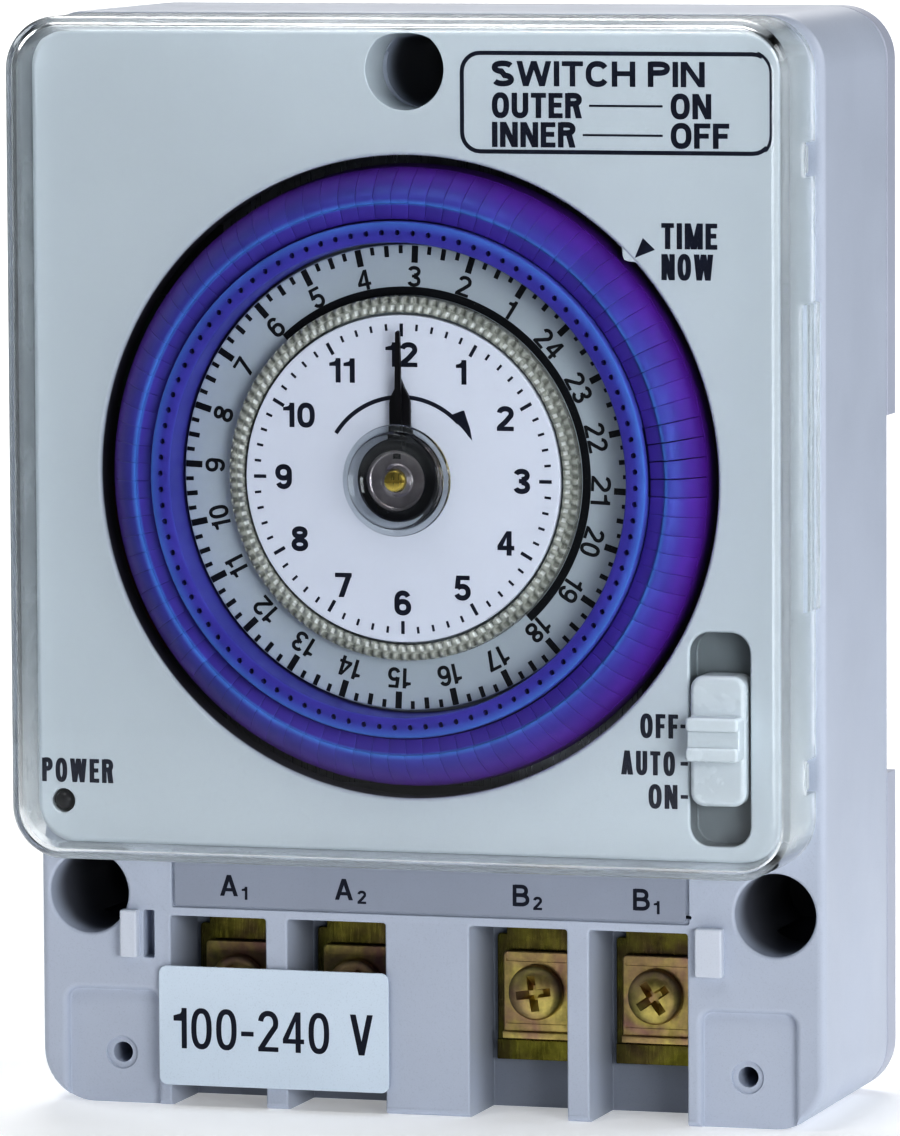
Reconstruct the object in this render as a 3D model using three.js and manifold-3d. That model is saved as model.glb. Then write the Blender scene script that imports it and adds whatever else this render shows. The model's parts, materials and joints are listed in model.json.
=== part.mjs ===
// Programmable timer: a 24-hour segment-dial time switch for heating and ventilation circuits.
// Millimetres. X to the right, Y into the case (0 = front face of the terminal block), Z up (0 = bottom of the case).
// The exported group is shifted so that the origin is the middle of the footprint on the bottom face.
import * as THREE from "three";
import { mergeVertices } from "three/addons/utils/BufferGeometryUtils.js";
import Module from "manifold-3d";

// ---------------------------------------------------------------- driving dimensions
const W = 100; // case width
const H = 134.8; // case height
const Y_BACK = 36; // rear face of the mounting pads
const Y_PART = 30.8; // parting line between housing and rear cover
const R_CASE = 6.5; // case corner radius
const WALL = 2.5; // case wall
const FACE_Y = -7.5; // front of the face plate
const FACE_X = 47.57; // half width of the face plate
const FACE_Z0 = 33.26;
const FACE_Z1 = 133.3;
const COVER_Y = -14.7; // front of the clear cover
const COVER_X = 49.0;
const COVER_Z0 = 31.95;
const COVER_Z1 = 134.6;
const COVER_T = 1.15;
const HINGE_X = -48.8; // cover hinge axis, vertical
const HINGE_Y = -1.5;
const DIAL_Z = 79; // height of the dial centre
const R_OPEN = 38.9; // dial opening in the face plate
const R_RING = 37.8; // outer radius of the segment ring
const RAIL_Z0 = 40.2; // rail channel in the rear
const RAIL_Z1 = 84.5;
const RAIL_FLOOR = 31.2;
const SEAT = { x0: 12, x1: 46, y: 31.4, z0: 46, z1: 80 }; // rail seats
const WELL_X = 43.74; // lower mounting wells
const WELL_Z = 26.2;
const WELL_TOP_Z = 128.2;
const R_WELL = 5.05;
const R_FIX = 2.5; // screw clearance hole at the back of each well
const POCKETS = [
  [-33.2, -20.9],
  [-18.1, -5.5],
  [5.2, 17.6],
  [20.4, 32.8],
]; // terminal pockets, left to right
const POCKET_Z1 = 23.6;
const POCKET_Y = 10.5; // pocket depth
const SCREW_Z = 14.6; // terminal screw height
const SLOT = { x0: 35.3, x1: 42.8, z0: 35.4, z1: 61.2 }; // mode slide window
const KNOB = { x0: 35.6, x1: 42.5, z0: 40.3, z1: 56.1 };
const GAP = 0.3; // standing gap between neighbours
const STAGE_CD = 21; // minute arbor to intermediate arbor
const MOTOR_CD = 21.6; // minute arbor to motor pinion
const SEG = 96; // set pins round the day dial
const SEG_DEG = 360 / SEG;
const PIN_FIRST = 77.5; // clockwise from the top, start of the four separate pins
const INT_Z = DIAL_Z - STAGE_CD;
const MOT_Z = DIAL_Z + MOTOR_CD;
const CENTRE_Y = (COVER_Y + Y_BACK) / 2;

// ---------------------------------------------------------------- solids
const wasm = await Module();
wasm.setup();

function solid(geometry) {
  const g = geometry.index ? geometry : geometry.clone();
  g.deleteAttribute("normal");
  g.deleteAttribute("uv");
  const m = mergeVertices(g, 1e-4);
  const tri = new Uint32Array(m.index.array);
  const pos = m.attributes.position.array;
  let vol = 0;
  const a = new THREE.Vector3(),
    b = new THREE.Vector3(),
    c = new THREE.Vector3();
  for (let i = 0; i < tri.length; i += 3) {
    a.fromArray(pos, tri[i] * 3);
    b.fromArray(pos, tri[i + 1] * 3);
    c.fromArray(pos, tri[i + 2] * 3);
    vol += a.dot(b.cross(c));
  }
  if (vol < 0)
    for (let i = 0; i < tri.length; i += 3)
      [tri[i + 1], tri[i + 2]] = [tri[i + 2], tri[i + 1]];
  return new wasm.Manifold(
    new wasm.Mesh({ numProp: 3, vertProperties: pos, triVerts: tri }),
  );
}
const box = (x0, x1, y0, y1, z0, z1) =>
  solid(
    new THREE.BoxGeometry(x1 - x0, y1 - y0, z1 - z0).translate(
      (x0 + x1) / 2,
      (y0 + y1) / 2,
      (z0 + z1) / 2,
    ),
  );
const cyl = (x, z, r, y0, y1, seg = 24) =>
  solid(
    new THREE.CylinderGeometry(r, r, y1 - y0, seg).translate(
      x,
      (y0 + y1) / 2,
      z,
    ),
  );
const cylZ = (x, y, r, z0, z1, seg = 12) =>
  solid(
    new THREE.CylinderGeometry(r, r, z1 - z0, seg)
      .rotateX(Math.PI / 2)
      .translate(x, y, (z0 + z1) / 2),
  );
const cylX = (y, z, r, x0, x1, seg = 12) =>
  solid(
    new THREE.CylinderGeometry(r, r, x1 - x0, seg)
      .rotateZ(Math.PI / 2)
      .translate((x0 + x1) / 2, y, z),
  );
function rrShape(x0, x1, z0, z1, r) {
  const s = new THREE.Shape();
  s.moveTo(x0 + r, z0);
  s.lineTo(x1 - r, z0);
  s.absarc(x1 - r, z0 + r, r, -Math.PI / 2, 0, false);
  s.lineTo(x1, z1 - r);
  s.absarc(x1 - r, z1 - r, r, 0, Math.PI / 2, false);
  s.lineTo(x0 + r, z1);
  s.absarc(x0 + r, z1 - r, r, Math.PI / 2, Math.PI, false);
  s.lineTo(x0, z0 + r);
  s.absarc(x0 + r, z0 + r, r, Math.PI, 1.5 * Math.PI, false);
  return s;
}
function extrude(shape, y0, y1, options = {}) {
  return solid(
    new THREE.ExtrudeGeometry(shape, {
      depth: y1 - y0,
      bevelEnabled: false,
      curveSegments: 5,
      ...options,
    })
      .rotateX(Math.PI / 2)
      .translate(0, y1, 0),
  );
}
const rr = (x0, x1, z0, z1, r, y0, y1, seg = 5) =>
  extrude(rrShape(x0, x1, z0, z1, r), y0, y1, { curveSegments: seg });
// Rounded plate whose front and rear edges are rounded by e as well.
const rrSoft = (x0, x1, z0, z1, r, y0, y1, e, seg = 5) =>
  extrude(rrShape(x0, x1, z0, z1, r), y0 + e, y1 - e, {
    curveSegments: seg,
    bevelEnabled: true,
    bevelThickness: e,
    bevelSize: e,
    bevelOffset: -e,
    bevelSegments: 2,
  });
const poly = (points, y0, y1) =>
  extrude(
    new THREE.Shape(points.map(([x, z]) => new THREE.Vector2(x, z))),
    y0,
    y1,
  );
// Body of revolution about the dial axis; profile points are [radius, y] and close on themselves.
function lathe(points, seg = 48, z = DIAL_Z, x = 0) {
  const p = points.map(([r, y]) => new THREE.Vector2(r, y));
  p.push(p[0].clone());
  return solid(new THREE.LatheGeometry(p, seg).translate(x, 0, z));
}
const disc = (r0, r1, y0, y1, seg = 32, z = DIAL_Z, x = 0) =>
  lathe(
    [
      [r0, y0],
      [r1, y0],
      [r1, y1],
      [r0, y1],
    ],
    seg,
    z,
    x,
  );
const union = (...list) => list.reduce((a, b) => a.add(b));
const cut = (a, ...list) => list.reduce((s, b) => s.subtract(b), a);

// Spur gear: straight-flanked teeth with running backlash. toothAt is the direction (degrees, from +X towards +Z)
// in which one tooth, or one gap when gap is true, is centred.
function gear(n, pitchR, bore, x, z, y0, y1, toothAt, gap = false) {
  const m = (2 * pitchR) / n;
  const p = (2 * Math.PI) / n;
  const start = (toothAt * Math.PI) / 180 + (gap ? p / 2 : 0);
  const ro = pitchR + 0.72 * m,
    ri = pitchR - 1.05 * m;
  const wr = 0.27 * p * (pitchR / ri) * 0.86,
    wt = 0.085 * p;
  const pts = [];
  for (let i = 0; i < n; i++) {
    const c = start + i * p;
    for (const [r, a] of [
      [ri, c - wr],
      [ro, c - wt],
      [ro, c + wt],
      [ri, c + wr],
    ])
      pts.push(new THREE.Vector2(r * Math.cos(a), r * Math.sin(a)));
  }
  const s = new THREE.Shape(pts);
  let g = extrude(s, y0, y1).translate([x, 0, z]);
  if (bore) g = g.subtract(cyl(x, z, bore, y0 - 1, y1 + 1, 12));
  return g;
}

// ---------------------------------------------------------------- scene graph
const root = new THREE.Group();
root.position.set(0, -CENTRE_Y, 0);
const mat = (color, roughness = 0.5, metalness = 0, extra = {}) =>
  new THREE.MeshStandardMaterial({ color, roughness, metalness, ...extra });
const groups = {};
function put(group, name, manifold, material) {
  const m = manifold.getMesh();
  const g = new THREE.BufferGeometry();
  const v = new Float32Array(m.numVert * 3);
  for (let i = 0; i < m.numVert; i++)
    v.set(
      m.vertProperties.subarray(i * m.numProp, i * m.numProp + 3),
      i * 3,
    );
  g.setAttribute("position", new THREE.BufferAttribute(v, 3));
  g.setIndex(new THREE.BufferAttribute(m.triVerts, 1));
  g.computeVertexNormals();
  const mesh = new THREE.Mesh(g, material);
  mesh.name = name;
  if (!groups[group]) {
    groups[group] = new THREE.Group();
    root.add(groups[group]);
  }
  groups[group].add(mesh);
}
const caseGrey = 0xc9ccd6,
  faceGrey = 0xc3cad3,
  violet = 0x46208c,
  brass = 0xc9a552,
  zinc = 0xc0a860,
  steel = 0xa8abb0,
  black = 0x141416;

// ---------------------------------------------------------------- housing
{
  let s = rr(-W / 2, W / 2, 0, H, R_CASE, 0, Y_PART, 5);
  // main space behind the dial, and the wiring space behind the terminals
  s = cut(
    s,
    rr(-47.5, 47.5, 27, H - WALL, 3, WALL, Y_PART + 1, 2),
    rr(-47.5, 47.5, WALL, 25, 2, 14, Y_PART + 1, 2),
    rr(-45, 45, 36.5, 130, 3, -1, WALL + 1, 2),
    box(-26, 26, 16, Y_PART + 1, 24, 28),
  );
  // wells for the mounting screws
  const outer = rr(-W / 2, W / 2, 0, H, R_CASE, 0, Y_PART, 5);
  for (const [x, z] of [
    [-WELL_X, WELL_Z],
    [WELL_X, WELL_Z],
    [0, WELL_TOP_Z],
  ]) {
    s = s.add(cyl(x, z, R_WELL + 1.7, 0, 28.4, 24).intersect(outer));
  }
  // bosses for the rear screws
  for (const x of [-1, 1])
    s = s.add(
      cyl(41.8 * x, 119.5, 3.4, 2, 28.4, 12).intersect(outer),
    );
  for (const [x, z] of [
    [-WELL_X, WELL_Z],
    [WELL_X, WELL_Z],
    [0, WELL_TOP_Z],
  ])
    s = cut(
      s,
      cyl(x, z, x ? R_WELL : 4.9, -1, 26.4, 24),
      cyl(x, z, R_FIX, 25, 32, 16),
    );
  for (const x of [-1, 1])
    s = cut(s, cyl(41.8 * x, 119.5, 1.45, 16, 32, 12));
  // seat for the rear cover
  s = cut(s, rr(-47.5, 47.5, WALL, H - WALL, 3, 28.5, Y_PART + 1, 2));
  // terminal pockets, screw bores and the slots for the terminal strips
  for (const [x0, x1] of POCKETS) {
    const xc = (x0 + x1) / 2;
    s = cut(
      s,
      box(x0, x1, -1, POCKET_Y, -1, POCKET_Z1),
      cyl(xc, SCREW_Z, 2.0, 10, 15, 10),
      box(xc - 4.6, xc + 4.6, 9.0, POCKET_Y, 22, 28),
    );
  }
  // lands, header recess, cover screws' holes, slots beside the hooks
  s = cut(
    s,
    rr(-47, -34.6, -5, 14.5, 1, -1, 1.1, 2),
    rr(34.2, 46.6, -5, 14.5, 1, -1, 1.1, 2),
    box(-33, 33, -1, 0.5, 24.7, 33.6),
    cyl(-40, 6.2, 1.25, -1, 11, 16),
    cyl(40, 6.2, 1.25, -1, 11, 16),
    box(-36.7, -35.3, -1, 3.2, 18.3, 24.2),
    box(31.9, 33.3, -1, 3.2, 25.6, 25.7),
  );
  s = union(
    s,
    box(-39.4, -37.2, -1.3, 0.6, 18.4, 24.3),
    box(34.0, 37.4, -1.3, 0.6, 18.5, 24.5),
    // hinge lugs for the cover
    box(-49.7, -47.9, -2.4, 0.6, 122, 127),
    box(-49.7, -47.9, -2.4, 0.6, 40, 45),
  );
  s = cut(
    s,
    cylZ(HINGE_X, HINGE_Y, 0.55, 121, 128),
    cylZ(HINGE_X, HINGE_Y, 0.55, 39, 46),
  );
  put("case", "base_housing", s, mat(caseGrey, 0.45));
}
// rear cover with the rail channel
{
  let s = rr(-W / 2, W / 2, 0, H, R_CASE, Y_PART + 0.35, Y_BACK, 5);
  s = s.add(rr(-47.1, 47.1, 3, H - 3, 3, 28.8, Y_PART + 2, 2));
  // hollow pads
  s = cut(
    s,
    box(-44, 44, 26, 34, 90, 129),
    box(-36, 36, 26, 34, 6, 36),
  );
  // columns: middle of the upper pad for the top fixing hole, ends for the screws
  s = union(
    s,
    cyl(0, WELL_TOP_Z, 5, 31.3, 35, 16),
    cyl(-41.8, 119.5, 4.2, 28.8, 35, 16),
    cyl(41.8, 119.5, 4.2, 28.8, 35, 16),
  );
  // rail channel with its upper lip, clip guide, fixing holes
  s = cut(
    s,
    box(-51, 51, RAIL_FLOOR, 37, RAIL_Z0, RAIL_Z1),
    box(-8.4, 8.4, RAIL_FLOOR, 37, 3.2, RAIL_Z0 + 1),
    box(-30, 30, RAIL_FLOOR, 32.5, RAIL_Z1 - 1, RAIL_Z1 + 1.6),
  );
  // raised seats that the rail lies on, one each side of the clip
  for (const x of [-1, 1])
    s = s.add(
      box(
        Math.min(x * SEAT.x0, x * SEAT.x1),
        Math.max(x * SEAT.x0, x * SEAT.x1),
        RAIL_FLOOR - 0.2,
        SEAT.y,
        SEAT.z0,
        SEAT.z1,
      ),
    );
  for (const [x, z] of [
    [-WELL_X, WELL_Z],
    [WELL_X, WELL_Z],
    [0, WELL_TOP_Z],
  ])
    s = cut(s, cyl(x, z, R_FIX, 27, 37, 16));
  for (const x of [-41.8, 41.8])
    s = cut(s, cyl(x, 119.5, 1.5, 27, 37, 12), cyl(x, 119.5, 2.9, 33.4, 37, 12));
  // undercut that holds the clip's edges
  s = union(
    s,
    box(-10, -7.4, 34.4, Y_BACK, 6, 36),
    box(7.4, 10, 34.4, Y_BACK, 6, 36),
  );
  put("case", "rear_cover", s, mat(0xbfc2cc, 0.5));
}
// rail clip
{
  let s = union(
    box(-7.0, 7.0, RAIL_FLOOR + 0.35, 34.0, 9, 48.4),
    box(-6.8, 6.8, 32.6, 35.4, 44.0, 52.4),
    box(-6.8, 6.8, 33.0, 35.6, 9, 36),
  );
  s = cut(
    s,
    box(-3, 3, 30, 37, 11.5, 15),
    box(-4, 4, 30, 37, 22, 38),
  );
  put("case", "din_clip", s, mat(0x6d7078, 0.5));
}
for (const [i, x] of [
  [1, -41.8],
  [2, 41.8],
]) {
  const s = cut(
    union(
      cyl(x, 119.5, 2.6, 33.7, 35.5, 12),
      cyl(x, 119.5, 1.2, 18, 34, 8),
    ),
    box(x - 1.7, x + 1.7, 34.7, 36, 119.15, 119.85),
    box(x - 0.35, x + 0.35, 34.7, 36, 117.8, 121.2),
  );
  put("case", "rear_screw_" + i, s, mat(steel, 0.35, 1));
}
// ---------------------------------------------------------------- face plate
{
  let s = rrSoft(-FACE_X, FACE_X, FACE_Z0, FACE_Z1, 5, FACE_Y, 3, 0.8, 3);
  s = cut(s, box(-60, 60, -0.3, 5, 0, 140));
  s = cut(
    s,
    rr(-45.5, 45.5, 35.3, 131.2, 3, -5.5, 1, 3),
  );
  const body = rr(-FACE_X, FACE_X, FACE_Z0, FACE_Z1, 5, -6.5, -0.3, 4);
  s = union(
    s,
    disc(37, 40.3, -6.5, -3.6, 48),
    cyl(0, WELL_TOP_Z, 6.6, -6.5, -0.3, 24).intersect(body),
    box(33.6, 44.5, -6.5, -2.6, 34, 62.8),
    cyl(-34, 113.8, 2.6, -6.5, 2.8, 10),
    cyl(34, 113.8, 2.6, -6.5, 2.8, 10),
    cyl(-28.5, 43.5, 2.6, -6.5, 2.8, 10),
    cyl(28.5, 43.5, 2.6, -6.5, 2.8, 10),
  );
  s = cut(
    s,
    cyl(0, DIAL_Z, R_OPEN, -9, 0, 72),
    cyl(0, WELL_TOP_Z, 4.9, -9, 1, 24),
    rr(SLOT.x0, SLOT.x1, SLOT.z0, SLOT.z1, 2.5, -9, -4.0, 3),
    box(37.8, 40.3, -5, -1, 42.4, 54.0),
    cyl(-44.2, 38.5, 1.45, -9, 1, 12),
  );
  // index tooth for the present time, and the two catches of the cover
  const a = (45.7 * Math.PI) / 180;
  const at = (r, t) => [
    r * Math.sin(a) + t * Math.cos(a),
    DIAL_Z + r * Math.cos(a) - t * Math.sin(a),
  ];
  s = union(
    s,
    poly([at(39.3, -1.8), at(39.3, 1.8), at(38.15, 0)], FACE_Y + 0.2, -5.6),
    box(47, 48.7, -4.4, -2.2, 115.9, 119.3),
    box(47, 48.7, -4.4, -2.2, 41.9, 45.3),
  );
  put("case", "face_plate", s, mat(faceGrey, 0.42));
}
// clear cover, hinged on the left
{
  const shell = (o, zo, e) =>
    rrSoft(
      -COVER_X + o,
      COVER_X - o,
      COVER_Z0 + o,
      COVER_Z1 - o,
      6.5 - o,
      COVER_Y + o,
      4,
      e,
      4,
    );
  let s = cut(
    shell(0, 0, 2.4).intersect(box(-60, 60, -20, -0.3, 0, 140)),
    shell(COVER_T, 0, 1.3),
  );
  // the left wall stops at the hinge axis, with gaps for the lugs and clips over the pins
  s = cut(
    s,
    box(-50, -47, -1.0, 2, 30, 136),
    box(-50, -47.5, -3.4, 2, 121.6, 127.4),
    box(-50, -47.5, -3.4, 2, 39.6, 45.4),
    box(-50, -47.5, -2.1, 2, 118.4, 130.6),
    box(-50, -47.5, -2.1, 2, 36.4, 48.6),
    // notches over the catches on the right
    box(47, 50, -4.8, 2, 115.5, 119.7),
    box(47, 50, -4.8, 2, 41.5, 45.7),
  );
  // finger grip on the right wall
  s = s.add(
    cut(
      box(48.6, 49.6, -6.2, -0.3, 63.6, 100.5),
      box(49.2, 50, -5.2, -4.4, 60, 104),
      box(49.2, 50, -3.4, -2.6, 60, 104),
    ),
  );
  put(
    "cover",
    "clear_cover",
    s,
    mat(0xe8eef2, 0.08, 0, { transparent: true, opacity: 0.3 }),
  );
}
for (const [n, z0, z1] of [
  ["upper", 119, 130],
  ["lower", 37, 48],
])
  put(
    "case",
    "cover_hinge_pin_" + n,
    cylZ(HINGE_X, HINGE_Y, 0.45, z0, z1),
    mat(steel, 0.3, 1),
  );
// labels
put(
  "case",
  "header_label",
  box(-32.6, 32.6, 0.05, 0.25, 25.0, 33.2),
  mat(0xc4c9d4, 0.5),
);
put(
  "case",
  "voltage_label",
  rr(-34.5, -4.9, 2.7, 17.5, 1, -0.75, -0.35, 3),
  mat(0xe4ecf4, 0.4),
);

// ---------------------------------------------------------------- day dial with its segment ring
const RING_FLOOR = -6.6;
const pinProfile = [
  [33.25, RING_FLOOR - GAP],
  [33.25, -11.1],
  [34.6, -10.7],
  [36.2, -9.1],
  [37.4, RING_FLOOR - GAP],
];
{
  // carrier rim, floor and outer bead
  let s = lathe(
    [
      [28.6, -5.4],
      [28.6, -11.8],
      [31.2, -11.8],
      [31.2, -10.0],
      [33.25, -10.0],
      [33.25, -11.1],
      [34.6, -10.7],
      [36.2, -9.1],
      [37.4, -6.9],
      [R_RING, -3.9],
      [37.3, -3.9],
      [37.3, -5.4],
    ],
    48,
  );
  // bay for the four separate pins
  const a0 = ((PIN_FIRST - 0.05) * Math.PI) / 180,
    a1 = ((PIN_FIRST + 4 * SEG_DEG + 0.05) * Math.PI) / 180;
  const ray = (r, a) => [r * Math.sin(a), DIAL_Z + r * Math.cos(a)];
  const am = (a0 + a1) / 2;
  s = cut(
    s,
    poly(
      [
        ray(31.2, a0),
        ray(31.2, am),
        ray(31.2, a1),
        ray(42, a1),
        ray(42, am),
        ray(42, a0),
      ],
      -14,
      RING_FLOOR,
    ),
  );
  put("day", "segment_ring", s, mat(violet, 0.2, 0, { transparent: true, opacity: 0.9 }));
  for (let i = 0; i < 4; i++) {
    const c = ((PIN_FIRST + (i + 0.5) * SEG_DEG) * Math.PI) / 180;
    const ux = Math.sin(c),
      uz = Math.cos(c),
      tx = Math.cos(c),
      tz = -Math.sin(c);
    // radial section swept across the width of the pin
    const shape = new THREE.Shape(
      pinProfile.map(([r, y]) => new THREE.Vector2(r, y)),
    );
    const g = new THREE.ExtrudeGeometry(shape, {
      depth: 1,
      bevelEnabled: false,
    });
    const p = g.attributes.position;
    for (let k = 0; k < p.count; k++) {
      const r = p.getX(k),
        y = p.getY(k),
        t = p.getZ(k) - 0.5;
      const w = 2 * (r - 2.2) * Math.tan(((SEG_DEG / 2) * Math.PI) / 180) - 0.2;
      p.setXYZ(
        k,
        r * ux + t * w * tx,
        y,
        DIAL_Z + r * uz + t * w * tz,
      );
    }
    put("pins", "set_pin_" + (i + 1), solid(g), mat(violet, 0.2));
  }
}
put(
  "day",
  "day_dial",
  lathe(
    [
      [6.4, -7.3],
      [28.2, -7.3],
      [28.2, -5.1],
      [37.0, -5.1],
      [37.0, -3.9],
      [27.0, -3.9],
      [27.0, -6.1],
      [8.4, -6.1],
      [8.4, -0.6],
      [6.4, -0.6],
    ],
    48,
  ),
  mat(0xc9ced6, 0.5),
);
put(
  "day",
  "knurled_ring",
  lathe(
    [
      [20.1, -7.6],
      [20.1, -9.2],
      [22.0, -9.2],
      [22.2, -7.6],
    ],
    48,
  ),
  mat(0xdde0e4, 0.15),
);
put(
  "day",
  "day_gear",
  gear(42, 18, 8.7, 0, DIAL_Z, -2.6, -1.2, -90, true),
  mat(0xd8d4c4, 0.5),
);
// ---------------------------------------------------------------- clock dial, hands and setting knob
put(
  "clock",
  "clock_dial",
  disc(3.6, 19.8, -9.2, -8.2, 48),
  mat(0xdfe0ea, 0.45),
);
put(
  "clock",
  "centre_tube",
  union(
    disc(4.6, 6.1, -7.9, 2.8, 24),
    disc(4.6, 9, 1.4, 2.8, 24),
  ),
  mat(steel, 0.4, 1),
);
{
  let s = disc(3.15, 4.7, -10.1, -9.6, 16);
  s = s.add(
    cut(
      poly(
        [
          [-1.3, DIAL_Z + 3.6],
          [1.3, DIAL_Z + 3.6],
          [1.3, DIAL_Z + 9.6],
          [1.6, DIAL_Z + 9.6],
          [0, DIAL_Z + 12.4],
          [-1.6, DIAL_Z + 9.6],
          [-1.3, DIAL_Z + 9.6],
        ],
        -10.1,
        -9.6,
      ),
      cyl(0, DIAL_Z, 3.15, -11, -9, 16),
    ),
  );
  put("clock", "hour_hand", s, mat(black, 0.4));
}
{
  const s = disc(1.45, 3.4, -10.9, -10.4, 16).add(
    poly(
      [
        [-0.5, DIAL_Z + 3.0],
        [0.5, DIAL_Z + 3.0],
        [0.2, DIAL_Z + 18],
        [-0.2, DIAL_Z + 18],
      ],
      -10.9,
      -10.4,
    ),
  );
  put("clock", "minute_hand", s, mat(black, 0.4));
}
put(
  "clock",
  "time_knob",
  lathe(
    [
      [1.45, -11.2],
      [1.45, -12.6],
      [4.0, -12.6],
      [4.3, -12.9],
      [5.8, -12.9],
      [6.0, -11.9],
      [6.75, -11.8],
      [6.75, -11.2],
    ],
    24,
  ),
  mat(0xcfd3d6, 0.1, 0, { transparent: true, opacity: 0.5 }),
);
put(
  "clock",
  "minute_arbor",
  union(
    cyl(0, DIAL_Z, 1.3, -12.7, 19.5, 16),
    gear(8, 4.2, 0, 0, DIAL_Z, 8.0, 10.0, -90),
  ),
  mat(brass, 0.3, 1),
);
put(
  "clock",
  "minute_wheel",
  cut(
    gear(40, 18, 1.6, 0, DIAL_Z, 12.4, 13.8, 90, true),
    cyl(-9.5, DIAL_Z, 4.6, 11, 15, 12),
    cyl(9.5, DIAL_Z, 4.6, 11, 15, 12),
    cyl(0, DIAL_Z + 9.5, 4.6, 11, 15, 12),
    cyl(0, DIAL_Z - 9.5, 4.6, 11, 15, 12),
  ),
  mat(brass, 0.35, 1),
);
put(
  "clock",
  "hour_wheel",
  union(
    disc(1.9, 2.9, -10.2, 6.4, 16),
    gear(30, 15.75, 2.4, 0, DIAL_Z, 5.0, 6.4, -90, true),
  ),
  mat(0xe6e3da, 0.5),
);
// ---------------------------------------------------------------- movement
put(
  "movement",
  "intermediate_arbor",
  union(
    cyl(0, INT_Z, 1.2, -3.2, 17.8, 16),
    gear(7, 3, 0, 0, INT_Z, -2.8, -1.0, 90),
    gear(10, 5.25, 0, 0, INT_Z, 4.8, 6.6, 90),
  ),
  mat(brass, 0.3, 1),
);
put(
  "movement",
  "intermediate_wheel",
  cut(
    gear(32, 16.8, 1.5, 0, INT_Z, 8.2, 9.6, 90, true),
    cyl(-8.5, INT_Z, 4.2, 7, 11, 12),
    cyl(8.5, INT_Z, 4.2, 7, 11, 12),
    cyl(0, INT_Z + 8.5, 4.2, 7, 11, 12),
    cyl(0, INT_Z - 8.5, 4.2, 7, 11, 12),
  ),
  mat(brass, 0.35, 1),
);
put(
  "movement",
  "motor_pinion",
  union(
    cyl(0, MOT_Z, 1.0, 12.0, 19.6, 12),
    gear(8, 3.6, 0, 0, MOT_Z, 12.2, 14.0, -90),
  ),
  mat(brass, 0.3, 1),
);
{
  let s = rr(-26.5, 26.5, 40.5, 117.5, 2, 3.1, 4.3, 2);
  s = union(
    s,
    rr(-38, 38, 109.5, 117.5, 2, 3.1, 4.3, 2),
    rr(-32, 32, 40.5, 47, 2, 3.1, 4.3, 2),
    rr(10, 37.5, 90, 117.5, 2, 3.1, 4.3, 2),
    rr(10, 31.5, 72.5, 96, 1, 3.1, 4.3, 2),
  );
  const a = (45.7 * Math.PI) / 180;
  s = cut(
    s,
    cyl(0, DIAL_Z, 3.3, 2, 6, 24),
    cyl(0, INT_Z, 4.4, 2, 6, 20),
    cyl(39.8 * Math.sin(a), DIAL_Z + 39.8 * Math.cos(a), 2.8, 2, 6, 16),
    cyl(-34, 113.8, 1.2, 2, 6, 8),
    cyl(34, 113.8, 1.2, 2, 6, 8),
    cyl(-28.5, 43.5, 1.2, 2, 6, 8),
    cyl(28.5, 43.5, 1.2, 2, 6, 8),
  );
  put("movement", "front_plate", s, mat(steel, 0.4, 1));
}
put(
  "movement",
  "rear_plate",
  cut(
    rr(-26.5, 26.5, 40.5, 117.5, 2, 16, 17.2, 2),
    cyl(0, DIAL_Z, 1.6, 15, 19, 16),
    cyl(0, INT_Z, 1.5, 15, 19, 16),
    cyl(0, MOT_Z, 5, 15, 19, 20),
  ),
  mat(steel, 0.4, 1),
);
[
  [-22.5, 44.5],
  [22.5, 44.5],
  [0, 113.3],
].forEach(([x, z], i) => {
  const zz = i === 2 ? 113.6 : z;
  put(
    "movement",
    "pillar_" + (i + 1),
    cyl(x, zz, 2.2, 4.6, 15.7, 12),
    mat(brass, 0.35, 1),
  );
});
put(
  "movement",
  "motor",
  cut(
    union(
      cyl(0, MOT_Z, 15, 17.6, 27.6, 24),
      rr(-19, 19, MOT_Z - 3, MOT_Z + 3, 2.5, 17.6, 18.6, 2),
    ),
    cyl(0, MOT_Z, 1.4, 17, 21, 12),
  ),
  mat(0x9a9da2, 0.35, 1),
);
// switching mechanism
{
  const a = (45.7 * Math.PI) / 180;
  const nx = 39.8 * Math.sin(a),
    nz = DIAL_Z + 39.8 * Math.cos(a);
  let s = union(
    poly(
      [
        [nx - 1.6, nz + 1.2],
        [nx + 1.5, nz + 1.9],
        [35.4, 98.2],
        [34.4, 82.6],
        [32.4, 82.6],
        [32.2, 93.6],
        [30.6, 97.6],
      ],
      5.0,
      6.4,
    ),
    cyl(nx, nz, 0.9, -3.0, 6.0, 12),
  );
  s = cut(s, cyl(33.2, 97, 1.3, 4, 8, 16));
  put("switching", "trip_lever", s, mat(0xd9d4c2, 0.5));
  put(
    "switching",
    "lever_pivot",
    union(cyl(33.2, 97, 1.2, 4.6, 7.0, 16), cyl(33.2, 97, 2.0, 6.7, 7.3, 16)),
    mat(steel, 0.35, 1),
  );
  put(
    "switching",
    "micro_switch",
    cut(
      box(20.2, 30.2, 4.7, 11.3, 74, 94),
      cylX(5.7, 84, 0.8, 27, 31),
      cyl(25.2, 77, 1.1, 4, 12, 12),
      cyl(25.2, 91, 1.1, 4, 12, 12),
    ),
    mat(0x202226, 0.5),
  );
  put(
    "switching",
    "switch_plunger",
    cylX(5.7, 84, 0.65, 28.3, 32.0),
    mat(0xb23a2c, 0.5),
  );
}
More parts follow.
